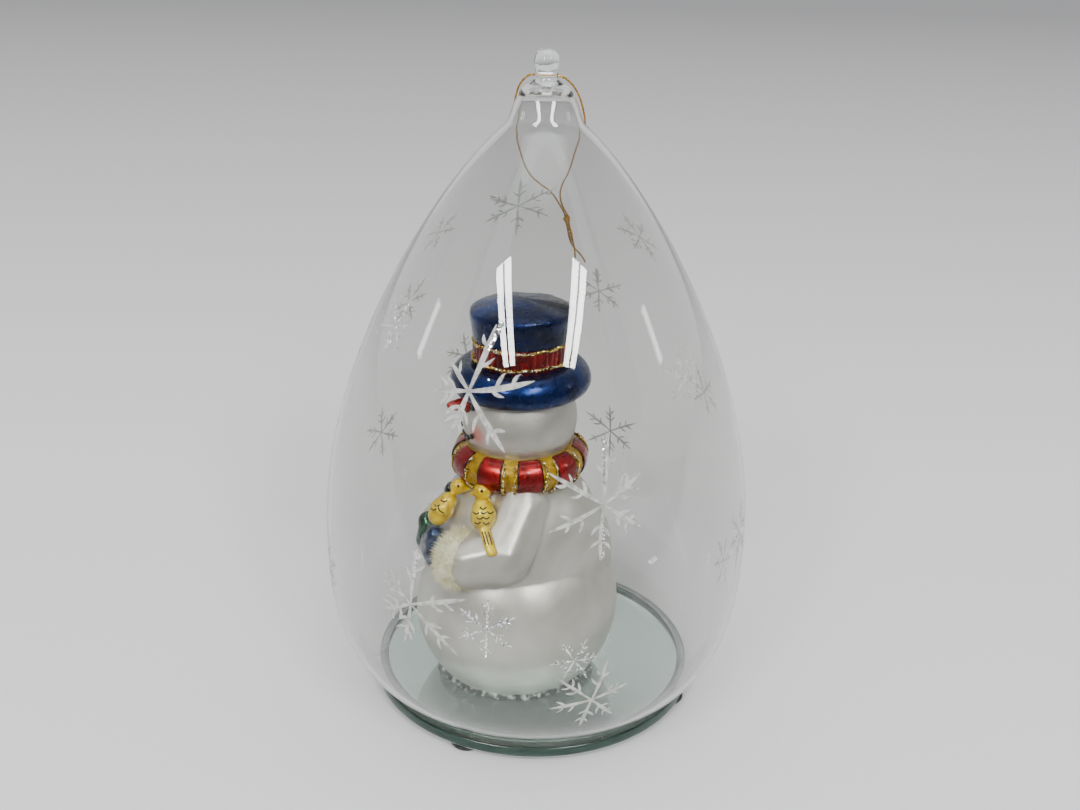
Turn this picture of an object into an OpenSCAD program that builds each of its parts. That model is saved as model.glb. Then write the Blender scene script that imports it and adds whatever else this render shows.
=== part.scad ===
// Waterless snow globe: a blown-glass teardrop dome stands over a blown-glass
// snowman on a round mirror plate with rubber feet. A gold thread hangs from
// the eye on top. Units are millimetres. Z = 0 is the surface it stands on,
// the origin is under the centre of the plate, and the snowman faces -Y.

/* [Plate] */
// Diameter of the mirror plate
plate_d = 100; // [98:1:106]
// Thickness of the mirror glass
plate_t = 3; // [2:0.5:4]
// Width of the ground bevel round both edges of the plate
plate_bevel = 0.6; // [0.3:0.1:1]
// Height of the rubber feet under the backing
foot_h = 1.8; // [1.5:0.1:3]
// Diameter of a rubber foot
foot_d = 10; // [8:1:12]

/* [Dome] */
// Widest radius of the dome
dome_r = 63; // [58:1:66]
// Radius of the dome's rim
rim_r = 47; // [44:1:48]
// Wall thickness of the blown glass
dome_t = 1.2; // [0.8:0.1:1.6]
// Gap between the dome's rim and the plate
rim_gap = 0.1; // [0.05:0.05:0.3]

/* [Snowman] */
// Radius of the lower ball
body_r = 31; // [29:1:32]
// Radius of the upper ball
torso_r = 25.5; // [24:0.5:26]
// Radius of the head
head_r = 16.6; // [15:0.1:18]
// Wall thickness of the blown figure
figure_t = 1.2; // [0.8:0.1:1.6]
// Radius of the rolled hat brim
brim_r = 20.5; // [19:0.5:22]

/* [Thread] */
// Diameter of the gold thread
thread_d = 0.6; // [0.5:0.1:1]

/* [Hidden] */

$fn = 96;
tiny = 0.01;
fuse_gap = 0.1;                 // clearance where two moulded zones meet
big = 400;

// plate stack, from the feet up
silver_t = 0.1;
paint_t = 0.2;
silver_z = foot_h + paint_t;
glass_z = silver_z + silver_t;
plate_top = glass_z + plate_t;
foot_ring = 45.4;               // radius at which the feet are stuck on, just past the edge
foot_turn = -44;                // angle of the front foot

// dome outline: a full lower belly, then one Bezier up to the nipple
belly_z = plate_top + 47.3;
belly_power = 3.14;
rim_z = plate_top + rim_gap;
cone_end = [10.3, plate_top + 166.5];
cone_from = [dome_r, belly_z + 45.4];
cone_to = [33.9, plate_top + 145.4];
nipple = [[9.5, 168.7], [8.9, 170.6], [7.9, 172.9], [7, 174.6], [6, 175.8], [4.6, 176.5]];
dome_top = plate_top + nipple[5][1];

// snowman: place on the plate, heights of its parts above the table
fig = [4, -7];
fig_z = plate_top + 0.4;
body_z = fig_z + 22;
torso_z = fig_z + 46;
head_z = fig_z + 83.2;
waist_z = (torso_z + body_z + (body_r * body_r - torso_r * torso_r) / (torso_z - body_z)) / 2;
scarf_z = fig_z + 70.2;
scarf_h = 12.5;
scarf_r = 20.2;
scarf_tube = 5.5;               // how far the scarf bulges from its middle ring
scarf_mid = scarf_r - scarf_tube;
trim_rise = 0.4;                // how far the glitter lines stand proud of the panels
panels = 10;
panel_turn = -8;                // angle of the first red panel
panel_angle = 22;
brim_z = fig_z + 96.6;
brim_h = 10;
band_z = brim_z + brim_h / 2 - 0.6;
band_r = 13.6;
band_h = 6.4;
crown_z = band_z + band_h;
crown_top_z = fig_z + 116.6;
crown_top_r = 15;

// eye on top of the dome and the thread through it
eye_z = dome_top + 2.3;
eye_hole_r = 0.9;
eye_turn = 60;                  // direction of the hole, and of the hinge axis
eye_profile = [[0, 0], [4.6, 0], [3.7, 0.7], [3.1, 1.7], [3, 3], [3.2, 4.4],
               [3.4, 5.8], [3.1, 7.3], [2.3, 8.4], [1.2, 9], [0, 9.1]];

// routes: along the hole, outwards behind the dome, height above the table
right_route = [[0, 0, 183.9], [1.5, 0, 183.9], [3, 0, 183.9], [4.4, 0.2, 183.5],
    [5.8, 1.2, 182.4], [7, 2.8, 180.7], [8, 4.4, 178.5], [8.9, 5.6, 175.5], [9.5, 6.7, 172.3],
    [9.1, 10.6, 169.1], [8, 14.8, 166.1], [6.6, 18.6, 163], [5.2, 22, 159.6], [3.8, 25.2, 155.8],
    [2.2, 28, 152], [0.4, 31, 148.6], [-0.8, 33.6, 144.8], [-0.4, 36.2, 140.6],
    [0.9, 39.2, 136.8], [1.2, 41.2, 133.6], [1.6, 43.2, 130.2], [2.1, 45.2, 126.6],
    [2.5, 46.4, 123.6], [2.4, 48, 120.2], [2, 49.4, 117.2]];
left_route = [[0, 0, 183.9], [-1.5, 0, 183.9], [-3, 0, 183.9], [-4.6, 0.2, 183.7],
    [-6.2, 0.9, 182.5], [-7.6, 2, 180.7], [-8.6, 3.2, 178.5], [-9.4, 4.6, 175.5],
    [-10, 6.4, 172.1], [-10.9, 9.6, 168.9], [-11.3, 13.6, 165.7], [-11.3, 17.4, 162.4],
    [-11, 21, 158.8], [-10.4, 24.4, 154.8], [-9, 27.8, 151], [-6.6, 30.8, 148],
    [-3.6, 33.2, 145.2], [-1.4, 36.2, 141], [-0.1, 39.2, 137.2], [0.2, 41.2, 134],
    [0.6, 43.2, 130.6], [1.1, 45.2, 127], [2.4, 46.4, 124.6], [4.4, 47.4, 122.2],
    [5.8, 48.2, 119.8]];
knot_from = [0.4, 39.3, 136.8];
knot_to = [1.6, 45.2, 127.2];

function bezier(a, b, c, d, t) =
    pow(1 - t, 3) * a + 3 * pow(1 - t, 2) * t * b + 3 * (1 - t) * t * t * c + pow(t, 3) * d;

// half height of the full superellipse whose lower part is the belly
belly_h = (belly_z - rim_z) / pow(1 - pow(rim_r / dome_r, belly_power), 1 / belly_power);
belly_steps = 12;
cone_steps = 20;
outer_line = concat(
    [for (i = [0 : belly_steps - 1])
        let (z = rim_z + (belly_z - rim_z) * i / belly_steps)
        [dome_r * pow(1 - pow((belly_z - z) / belly_h, belly_power), 1 / belly_power), z]],
    [for (i = [0 : cone_steps])
        bezier([dome_r, belly_z], cone_from, cone_to, cone_end, i / cone_steps)],
    [for (p = nipple) [p[0], p[1] + plate_top]]);

function unit(v) = v / norm(v);
function last(v) = v[len(v) - 1];

// a line moved inwards by the wall, one point for each point of the outside
inner_count = belly_steps + cone_steps + 1;
inner_line = [for (i = [0 : inner_count - 1])
    let (a = outer_line[max(i - 1, 0)], b = outer_line[i + 1], t = unit(b - a))
    i == 0 ? outer_line[0] + [-dome_t, 0] : outer_line[i] + dome_t * [-t[1], t[0]]];

// smooth route through the points, two rings for each stretch
function spline_point(p, i, t) =
    let (a = p[max(i - 1, 0)], b = p[i], c = p[i + 1], d = p[min(i + 2, len(p) - 1)])
    0.5 * (2 * b + (c - a) * t + (2 * a - 5 * b + 4 * c - d) * t * t
           + (3 * b - a - 3 * c + d) * t * t * t);
function smooth_route(p) =
    concat([for (i = [0 : len(p) - 2]) for (t = [0, 0.5]) spline_point(p, i, t)], [last(p)]);
function tangents(p) =
    [for (i = [0 : len(p) - 1]) unit(p[min(i + 1, len(p) - 1)] - p[max(i - 1, 0)])];
function sides(tang, before, i = 0) =
    i == len(tang) ? [] :
    let (s = unit(before - (before * tang[i]) * tang[i])) concat([s], sides(tang, s, i + 1));

thread_sides = 8;

module thread(route) {
    line = smooth_route(route);
    tang = tangents(line);
    side = sides(tang, [0, 0, 1]);
    count = len(line);
    points = [for (i = [0 : count - 1]) for (k = [0 : thread_sides - 1])
        let (a = 360 * k / thread_sides)
        line[i] + thread_d / 2 * (cos(a) * side[i] + sin(a) * cross(tang[i], side[i]))];
    walls = [for (i = [0 : count - 2]) for (k = [0 : thread_sides - 1])
        let (a = i * thread_sides + k, b = i * thread_sides + (k + 1) % thread_sides)
        [a, a + thread_sides, b + thread_sides, b]];
    start_cap = [for (k = [0 : thread_sides - 1]) k];
    end_cap = [for (k = [thread_sides - 1 : -1 : 0]) (count - 1) * thread_sides + k];
    rotate([0, 0, eye_turn]) polyhedron(points, concat([start_cap], walls, [end_cap]));
}

// ---- plate ----

module disc(r, h, bevel) {
    rotate_extrude()
        polygon([[0, 0], [r - bevel, 0], [r, bevel], [r, h - bevel], [r - bevel, h], [0, h]]);
}

module plate_glass() {
    color([0.75, 0.85, 0.82, 0.5]) translate([0, 0, glass_z]) disc(plate_d / 2, plate_t, plate_bevel);
}

module silver_coat() {
    color("silver") translate([0, 0, silver_z]) cylinder(r = plate_d / 2 - plate_bevel - 0.2, h = silver_t);
}

module backing_paint() {
    color("dimgray") translate([0, 0, foot_h]) cylinder(r = plate_d / 2 - plate_bevel - 0.2, h = paint_t);
}

module foot(turn) {
    dome_rise = foot_h / 3;
    color("black") rotate([0, 0, foot_turn + turn]) translate([foot_ring, 0, 0])
        rotate_extrude()
            polygon([[0, 0], [foot_d / 2 - 1.4, 0], [foot_d / 2 - 0.4, dome_rise],
                     [foot_d / 2, 2 * dome_rise], [foot_d / 2, foot_h], [0, foot_h]]);
}

module glue_bead() {
    bead_r = 21;
    seat = fig_z - plate_top;
    color([0.85, 0.9, 0.88, 0.6]) at_figure(plate_top)
        rotate_extrude()
            polygon([[0, 0], [bead_r + 3.2, 0], [bead_r + 3.2, 0.5], [bead_r + 2.8, 1.1],
                     [bead_r + 2, 1.3], [bead_r + 1.2, seat], [0, seat]]);
}

// ---- snowman ----

module at_figure(z) {
    translate([fig[0], fig[1], z]) children();
}

// hollow ball, cut flat above and below, with its wall all round
module hollow_ball(r, z, low, high) {
    difference() {
        intersection() {
            at_figure(z) sphere(r = r);
            at_figure(low) cylinder(r = big / 2, h = high - low);
        }
        intersection() {
            at_figure(z) sphere(r = r - figure_t);
            at_figure(low + figure_t) cylinder(r = big / 2, h = high - low - 2 * figure_t);
        }
    }
}

module body_lower() {
    color("ghostwhite") hollow_ball(body_r, body_z, fig_z, waist_z);
}

module torso() {
    color("ghostwhite") hollow_ball(torso_r, torso_z, waist_z + fuse_gap, scarf_z + 2);
}

module head() {
    color("ghostwhite") hollow_ball(head_r, head_z, scarf_z + 2 + fuse_gap, brim_z - fuse_gap);
}

module nose() {
    nose_h = 6.6;
    color("orangered") difference() {
        at_figure(head_z + 5.6) translate([0, -14, 0]) rotate([87, 0, 0]) union() {
            cylinder(r1 = 2.7, r2 = 1.2, h = nose_h);
            translate([0, 0, nose_h]) sphere(r = 1.2);
        }
        at_figure(head_z) sphere(r = head_r + fuse_gap);
    }
}

// a round bead that stands on a ball, at a turn from the front and a slope above its middle
module ball_bead(ball_r, ball_z, turn, slope, bead_r) {
    at_figure(ball_z) rotate([0, 0, turn]) rotate([slope, 0, 0])
        translate([0, -ball_r - fuse_gap, 0]) rotate([90, 0, 0])
            rotate_extrude()
                polygon([[0, 0], [bead_r, 0], [bead_r * 0.95, bead_r * 0.35],
                         [bead_r * 0.7, bead_r * 0.65], [0, bead_r * 0.85]]);
}

module eyes() {
    color("black") for (turn = [-13, 13]) ball_bead(head_r, head_z, turn, -22, 1.3);
}

module mouth() {
    color("black") for (k = [-2 : 2])
        ball_bead(head_r, head_z, k * 8, 14 - k * k * 1.5, 0.8);
}

module button() {
    color("black") ball_bead(torso_r, torso_z, -8, -37, 2);
}

// joints of an arm above the seat of the figure: shoulder, elbow, wrist, hand and finger end,
// for the left arm, and for the right arm as if it were on the left
arm_joints = [[[12.5, -5, 62], [20, -13.5, 50], [18, -20, 48], [8.5, -25.4, 47], [3, -25.4, 46.5]],
              [[12.5, -4, 62], [19.5, -7, 49], [15, -16, 46], [6, -23, 46], [1.6, -25.4, 46.5]]];
function joints_of(side) = arm_joints[side > 0 ? 0 : 1];

module arm_link(a, b, ra, rb) {
    hull() {
        translate(a) sphere(r = ra, $fn = 28);
        translate(b) sphere(r = rb, $fn = 28);
    }
}

// side is 1 for the left arm and -1 for the right arm
module arm(side) {
    joint = joints_of(side);
    color("ghostwhite") difference() {
        at_figure(fig_z) mirror([side < 0 ? 1 : 0, 0, 0]) difference() {
            union() {
                arm_link(joint[0], joint[1], 7.5, 9);
                arm_link(joint[1], joint[2], 9, 8);
            }
            cuff_shape(joint, fuse_gap);
        }
        at_figure(torso_z) sphere(r = torso_r + fuse_gap);
        at_figure(body_z) sphere(r = body_r + fuse_gap);
        at_figure(waist_z - 4) cylinder(r = torso_r, h = 6);
        scarf_ring(trim_rise + fuse_gap);
    }
}

module cuff_shape(joint, grow) {
    along = unit(joint[3] - joint[2]);
    middle = (joint[2] + joint[3]) / 2 + [0.2, -0.8, 0.4];
    translate(middle) rotate([0, acos(along[2]), atan2(along[1], along[0])])
        rotate_extrude()
            polygon([[0, -4.4 - grow], [6, -4.4 - grow], [8.3 + grow, -2.8], [9.1 + grow, 0],
                     [8.3 + grow, 2.8], [6, 4.4 + grow], [0, 4.4 + grow]]);
}

module cuff(side) {
    color("beige") difference() {
        at_figure(fig_z) mirror([side < 0 ? 1 : 0, 0, 0]) cuff_shape(joints_of(side), 0);
        at_figure(torso_z) sphere(r = torso_r + fuse_gap);
        at_figure(body_z) sphere(r = body_r + fuse_gap);
        mirror_plane_cut(side);
    }
}

// keeps what belongs to one side clear of the middle of the figure
module mirror_plane_cut(side) {
    at_figure(0) mirror([side < 0 ? 1 : 0, 0, 0]) translate([fuse_gap - big, -big / 2, 0])
        cube(big);
}

module mitten(side) {
    joint = joints_of(side);
    color(side > 0 ? "midnightblue" : "darkgreen") difference() {
        at_figure(fig_z) mirror([side < 0 ? 1 : 0, 0, 0]) difference() {
            arm_link(joint[3], joint[4], 6.6, 6.4);
            cuff_shape(joint, fuse_gap);
        }
        at_figure(torso_z) sphere(r = torso_r + fuse_gap);
        at_figure(body_z) sphere(r = body_r + fuse_gap);
        mirror_plane_cut(side);
    }
}

// a small songbird round the origin, looking along +X, with a tail of the given length
module songbird(tail) {
    hull() {
        sphere(r = 3.6, $fn = 24);
        translate([-2.4, 0, -2.8]) sphere(r = 2.6, $fn = 20);
    }
    hull() {
        translate([-3, 0, -3.4]) sphere(r = 2, $fn = 16);
        translate([-3 - tail * 0.6, 0, -3.4 - tail * 0.8]) sphere(r = 1, $fn = 16);
    }
    hull() {
        translate([1, 0, 1.4]) sphere(r = 2.6, $fn = 20);
        translate([2.6, 0, 4.6]) sphere(r = 2.7, $fn = 24);
    }
    translate([4.6, 0, 4.4]) rotate([0, 90, 0]) cylinder(r1 = 1.2, r2 = 0.3, h = 2.6, $fn = 24);
}

module bird_left() {
    color("gold") difference() {
        at_figure(fig_z) translate([16, -17, 62]) rotate([0, 0, 163]) songbird(6.5);
        arm(1);
        at_figure(torso_z) sphere(r = torso_r + fuse_gap);
        scarf_ring(trim_rise + fuse_gap);
    }
}

module bird_right() {
    color("gold") difference() {
        at_figure(fig_z) translate([4, -23.4, 60]) rotate([0, 0, 95]) songbird(1.5);
        at_figure(torso_z) sphere(r = torso_r + fuse_gap);
        scarf_ring(trim_rise + fuse_gap);
        at_figure(fig_z) for (side = [-1, 1]) mirror([side < 0 ? 1 : 0, 0, 0]) {
            arm_link(joints_of(side)[3], joints_of(side)[4], 6.8, 6.6);
            cuff_shape(joints_of(side), 2 * fuse_gap);
        }
    }
}

// ---- scarf ----

module scarf_outline(grow) {
    steps = 14;
    polygon([for (i = [0 : steps]) let (a = -90 + 180 * i / steps)
        [scarf_mid + (scarf_tube + grow) * cos(a), scarf_z + (scarf_h / 2 + grow) * sin(a)]]);
}

module scarf_ring(grow) {
    at_figure(0) rotate_extrude() union() {
        scarf_outline(grow);
        translate([0, scarf_z - scarf_h / 2 - grow]) square([scarf_mid + tiny, scarf_h + 2 * grow]);
    }
}

module scarf_cut() {
    at_figure(torso_z) sphere(r = torso_r + fuse_gap);
    at_figure(head_z) sphere(r = head_r + fuse_gap);
}

module panel_wedge(turn, angle) {
    reach = 40;
    half = angle / 2;
    at_figure(scarf_z - scarf_h) rotate([0, 0, turn]) linear_extrude(2 * scarf_h)
        polygon([[0, 0], [reach * cos(half), -reach * sin(half)], [reach * cos(half), reach * sin(half)]]);
}

module scarf_red() {
    color("firebrick") for (k = [0 : panels - 1]) intersection() {
        difference() {
            scarf_ring(0);
            scarf_cut();
        }
        panel_wedge(panel_turn + k * 360 / panels, panel_angle);
    }
}

module scarf_yellow() {
    color("goldenrod") difference() {
        scarf_ring(-trim_rise);
        scarf_cut();
        for (k = [0 : panels - 1])
            panel_wedge(panel_turn + k * 360 / panels, panel_angle + 0.4);
    }
}

module scarf_trim() {
    color("gold") for (k = [0 : panels - 1]) for (edge = [-1, 1])
        intersection() {
            difference() {
                scarf_ring(trim_rise);
                scarf_ring(tiny * 5);
                scarf_cut();
            }
            panel_wedge(panel_turn + k * 360 / panels + edge * (panel_angle / 2 + 1), 2);
        }
}

// ---- hat ----

module hat_brim() {
    core_r = 12;
    color("navy") difference() {
        at_figure(brim_z) rotate_extrude() union() {
            square([core_r, brim_h / 2 - 0.6]);
            translate([0, -1]) square([core_r + 1, 3]);
            polygon([for (i = [0 : 23]) let (a = 15 * i)
                [brim_r - 5 + 5 * cos(a), brim_h / 2 * sin(a) - 0.6 * cos(a)]]);
        }
        at_figure(head_z) sphere(r = head_r + fuse_gap);
        at_figure(brim_z - figure_t) cylinder(r = core_r - 1, h = brim_h / 2);
        at_figure(band_z) cylinder(r = band_r + fuse_gap, h = band_h);
    }
}

module hat_band() {
    color("firebrick") at_figure(band_z) difference() {
        rotate_extrude() polygon([[0, 0], [band_r - 0.4, 0], [band_r, 1.2], [band_r, band_h - 1.2],
                                  [band_r - 0.4, band_h], [0, band_h]]);
        translate([0, 0, figure_t]) cylinder(r = band_r - 2, h = band_h - 2 * figure_t);
    }
}

module band_trim() {
    color("gold") at_figure(0) for (z = [band_z + 1.4, band_z + band_h - 1.2])
        translate([0, 0, z]) difference() {
            cylinder(r = band_r + 0.5, h = 0.8);
            translate([0, 0, -1]) cylinder(r = band_r + 0.05, h = 3);
        }
}

module hat_crown() {
    crown_h = crown_top_z - crown_z;
    color("navy") at_figure(crown_z + fuse_gap) difference() {
        rotate_extrude() polygon([[0, 0], [band_r - 0.2, 0], [13.9, 3], [14.6, 7.5],
                                  [crown_top_r, crown_h - 1.6], [crown_top_r - 0.4, crown_h - 0.4],
                                  [crown_top_r - 1.4, crown_h + 0.2], [9, crown_h + 0.9], [0, crown_h + 1.2]]);
        translate([0, 0, figure_t]) cylinder(r1 = band_r - 1.6, r2 = crown_top_r - 1.6, h = crown_h - 2 * figure_t);
    }
}

// ---- dome and hanger ----

module glass_dome() {
    top = outer_line[len(outer_line) - 1];
    color([0.9, 0.95, 1, 0.3]) rotate_extrude()
        polygon(concat(outer_line, [[0, top[1]], [0, last(inner_line)[1] - 0.6]],
                       [for (i = [inner_count - 1 : -1 : 0]) inner_line[i]]));
}

module hanging_eye() {
    color([0.9, 0.95, 1, 0.5]) translate([0, 0, dome_top]) difference() {
        rotate_extrude() polygon(eye_profile);
        translate([0, 0, eye_z - dome_top]) rotate([0, 0, eye_turn]) rotate([0, 90, 0])
            cylinder(r = eye_hole_r, h = 20, center = true);
    }
}

module thread_left() {
    color("darkgoldenrod") thread(left_route);
}

module thread_right() {
    color("darkgoldenrod") thread(right_route);
}

module thread_knot() {
    along = unit(knot_to - knot_from);
    length = norm(knot_to - knot_from);
    color("goldenrod") rotate([0, 0, eye_turn]) translate(knot_from)
        rotate([0, acos(along[2]), atan2(along[1], along[0])])
            rotate_extrude()
                polygon([[0, -0.6], [0.8, -0.3], [1.3, 0.6], [1.3, 2.6], [1, 3.6], [1, length - 1],
                         [0.8, length], [0, length + 0.3]]);
}

plate_glass();
silver_coat();
backing_paint();
foot(0);  // foot_front
foot(90);  // foot_right
foot(180);  // foot_back
foot(270);  // foot_left
glue_bead();
body_lower();
torso();
head();
nose();
eyes();
mouth();
button();
arm(1);  // arm_left
arm(-1);  // arm_right
cuff(1);  // cuff_left
cuff(-1);  // cuff_right
mitten(1);  // mitten_left
mitten(-1);  // mitten_right
bird_left();
bird_right();
scarf_yellow();
scarf_red();
scarf_trim();
hat_brim();
hat_band();
band_trim();
hat_crown();
glass_dome();
hanging_eye();
thread_left();
thread_right();
thread_knot();
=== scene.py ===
import math
import random

import bmesh
import bpy
from mathutils import Matrix, Vector
from mathutils.bvhtree import BVHTree


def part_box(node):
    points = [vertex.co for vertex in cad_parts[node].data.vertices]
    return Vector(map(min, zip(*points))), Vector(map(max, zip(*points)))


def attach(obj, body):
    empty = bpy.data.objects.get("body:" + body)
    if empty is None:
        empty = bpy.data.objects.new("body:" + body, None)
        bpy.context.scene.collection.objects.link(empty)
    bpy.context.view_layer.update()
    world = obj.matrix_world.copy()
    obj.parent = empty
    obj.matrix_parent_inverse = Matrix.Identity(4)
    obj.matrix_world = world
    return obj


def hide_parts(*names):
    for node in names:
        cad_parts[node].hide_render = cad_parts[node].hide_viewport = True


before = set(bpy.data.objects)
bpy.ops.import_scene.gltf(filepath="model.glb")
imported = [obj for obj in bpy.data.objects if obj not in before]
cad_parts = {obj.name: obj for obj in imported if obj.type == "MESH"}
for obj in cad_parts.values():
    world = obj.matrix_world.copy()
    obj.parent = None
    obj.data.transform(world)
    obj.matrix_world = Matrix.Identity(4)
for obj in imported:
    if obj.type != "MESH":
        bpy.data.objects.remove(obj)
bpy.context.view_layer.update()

mm = 0.001
up = Vector((0, 0, 1))
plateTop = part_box("plate_glass")[1].z
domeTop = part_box("glass_dome")[1].z


# small helpers

def linear(hexCode):
    # sRGB hex to the linear colour that shaders take
    parts = [int(hexCode[i:i + 2], 16) / 255 for i in (1, 3, 5)]
    return tuple(c / 12.92 if c <= 0.04045 else ((c + 0.055) / 1.055) ** 2.4 for c in parts) + (1,)


def newMaterial(name):
    mat = bpy.data.materials.new(name)
    mat.use_nodes = True
    mat.node_tree.nodes.clear()
    return mat


def add(mat, kind, inputs=None, stops=None, **settings):
    # adds one node with its settings, its values or links, and the stops of a colour ramp
    node = mat.node_tree.nodes.new("ShaderNode" + kind)
    for key, value in settings.items():
        setattr(node, key, value)
    for key, value in (inputs or {}).items():
        if isinstance(value, bpy.types.NodeSocket):
            mat.node_tree.links.new(value, node.inputs[key])
        else:
            node.inputs[key].default_value = value
    if stops:
        band = node.color_ramp
        while len(band.elements) < len(stops):
            band.elements.new(0.5)
        for element, (place, colour) in zip(band.elements, stops):
            element.position = place
            element.color = linear(colour) if isinstance(colour, str) else (colour,) * 3 + (1,)
    return node


def finishMaterial(mat, shader, volume=None):
    out = add(mat, "OutputMaterial", {"Surface": shader})
    if volume:
        mat.node_tree.links.new(volume, out.inputs["Volume"])
    return mat


def plainFinish(name, scale, detail, stops, look, bump=None, stretch=(1, 1, 1)):
    # an opaque finish whose colour, and relief if it has any, follow one noise
    mat = newMaterial(name)
    coords = add(mat, "TexCoord").outputs["Object"]
    spread = add(mat, "Mapping", {"Vector": coords, "Scale": stretch}).outputs["Vector"]
    grain = add(mat, "TexNoise", {"Vector": spread, "Scale": scale, "Detail": detail}).outputs["Fac"]
    colour = add(mat, "ValToRGB", {"Fac": grain}, stops).outputs["Color"]
    shader = add(mat, "BsdfPrincipled", {"Base Color": colour, **look})
    if bump:
        strength, deep = bump
        relief = add(mat, "Bump", {"Height": grain, "Strength": strength, "Distance": deep * mm}).outputs[0]
        mat.node_tree.links.new(relief, shader.inputs["Normal"])
    return finishMaterial(mat, shader.outputs[0])


def deselect():
    if bpy.context.mode != "OBJECT":
        bpy.ops.object.mode_set(mode="OBJECT")
    bpy.ops.object.select_all(action="DESELECT")


def pick(obj):
    deselect()
    obj.select_set(True)
    bpy.context.view_layer.objects.active = obj


def edit(obj, mode="FACE"):
    pick(obj)
    bpy.ops.object.mode_set(mode="EDIT")
    bpy.ops.mesh.select_mode(type=mode)
    bpy.ops.mesh.select_all(action="DESELECT")


def choose(obj, test):
    # selects the faces whose centre passes the test
    found = bmesh.from_edit_mesh(obj.data)
    for face in found.faces:
        face.select_set(bool(test(face.calc_center_median())))
    bmesh.update_edit_mesh(obj.data)


def applyModifier(obj, kind, **settings):
    pick(obj)
    mod = obj.modifiers.new(kind.title(), kind)
    for key, value in settings.items():
        setattr(mod, key, value)
    bpy.ops.object.modifier_apply(modifier=mod.name)


def settle(obj):
    # puts the object at the origin with its place in its mesh
    pick(obj)
    bpy.ops.object.transform_apply(location=True, rotation=True, scale=True)


def join(name, parts):
    pick(parts[0])
    for part in parts:
        part.select_set(True)
    if len(parts) > 1:
        bpy.ops.object.join()
    whole = bpy.context.object
    whole.name = whole.data.name = name
    return whole


def ball(at, radii, turn=(0, 0, 0), fine=3):
    deselect()
    bpy.ops.mesh.primitive_ico_sphere_add(radius=1, subdivisions=fine, rotation=turn,
                                          location=[c * mm for c in at])
    obj = bpy.context.object
    obj.scale = [r * mm for r in (radii if hasattr(radii, "__len__") else (radii,) * 3)]
    settle(obj)
    return obj


def chain(points, radii, step=0.9):
    # a limb as a row of overlapping balls, for a remesh to close over
    parts = []
    for a, b, ra, rb in zip(points, points[1:], radii, radii[1:]):
        count = max(1, round((Vector(b) - Vector(a)).length / step))
        for k in range(count + (b is points[-1])):
            t = k / count
            parts.append(ball(Vector(a).lerp(Vector(b), t), ra + (rb - ra) * t, fine=2))
    return parts


def fuse(name, parts, voxel, rounds):
    # one skin over all the parts, its creases softened as a blown mould leaves them
    whole = join(name, parts)
    applyModifier(whole, "REMESH", mode="VOXEL", voxel_size=voxel * mm)
    applyModifier(whole, "SMOOTH", factor=0.5, iterations=rounds)
    return whole


def turned(name, outline, steps, centre=(0, 0), start=0):
    # a lathe: the outline is drawn point by point, then spun round an upright axis
    deselect()
    bpy.ops.mesh.primitive_plane_add(size=mm)
    obj = bpy.context.object
    obj.name = obj.data.name = name
    edit(obj, "VERT")
    bpy.ops.mesh.select_all(action="SELECT")
    bpy.ops.mesh.merge(type="CENTER")
    across = Vector((math.cos(start), math.sin(start), 0))
    middle = Vector((centre[0], centre[1], 0)) * mm
    points = [middle + (across * r + up * z) * mm for r, z in outline]
    bpy.ops.transform.translate(value=points[0])
    for a, b in zip(points, points[1:]):
        bpy.ops.mesh.extrude_vertices_move(TRANSFORM_OT_translate={"value": b - a})
    bpy.ops.mesh.select_all(action="SELECT")
    bpy.ops.mesh.spin(steps=steps, angle=2 * math.pi, center=middle, axis=(0, 0, 1))
    bpy.ops.mesh.select_all(action="SELECT")
    bpy.ops.mesh.remove_doubles(threshold=0.002 * mm)
    bpy.ops.mesh.normals_make_consistent(inside=False)
    bpy.ops.object.mode_set(mode="OBJECT")
    return obj


def treeOf(obj):
    data = obj.data
    return BVHTree.FromPolygons([v.co.copy() for v in data.vertices],
                                [tuple(p.vertices) for p in data.polygons])


def smooth(obj, angle=40):
    pick(obj)
    bpy.ops.object.shade_smooth_by_angle(angle=math.radians(angle))


def dress(obj, *materials):
    obj.data.materials.clear()
    for mat in materials:
        obj.data.materials.append(mat)


def hand(obj, body, slot, *nodes):
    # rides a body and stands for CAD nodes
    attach(obj, body)
    if nodes:
        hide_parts(*nodes)
    return obj


def present(obj, mat, angle, body, slot, *nodes):
    # dresses a piece, smooths it below an angle unless its facets show, and hands it over
    dress(obj, mat)
    if angle:
        smooth(obj, angle)
    return hand(obj, body, slot, *nodes)


def shape(name, points, faces):
    data = bpy.data.meshes.new(name)
    data.from_pydata([tuple(p) for p in points], [], faces)
    obj = bpy.data.objects.new(name, data)
    bpy.context.scene.collection.objects.link(obj)
    return obj


# camera: it looks down on the snowman's left side

camera = {"place": (0.3030, -0.1103, 0.2306), "lens": 40, "bearing": 159.93, "down": 23.62, "roll": 1.4}

bearing, down, roll = (math.radians(camera[k]) for k in ("bearing", "down", "roll"))
away = Vector((math.cos(bearing), math.sin(bearing), 0))
right = Vector((away.y, -away.x, 0))
forward = away * math.cos(down) - up * math.sin(down)
top = away * math.sin(down) + up * math.cos(down)
xAxis = right * math.cos(roll) + top * math.sin(roll)
yAxis = top * math.cos(roll) - right * math.sin(roll)
deselect()
bpy.ops.object.camera_add()
cameraObject = bpy.context.object
cameraObject.data.lens = camera["lens"]
cameraObject.data.clip_start = 0.01
cameraObject.matrix_world = Matrix((xAxis, yAxis, -forward)).transposed().to_4x4()
cameraObject.matrix_world.translation = Vector(camera["place"])
bpy.context.scene.camera = cameraObject
print("camera in place")


# gold thread: one loop through the eye, its two legs knotted, lying over the back of the dome

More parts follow.
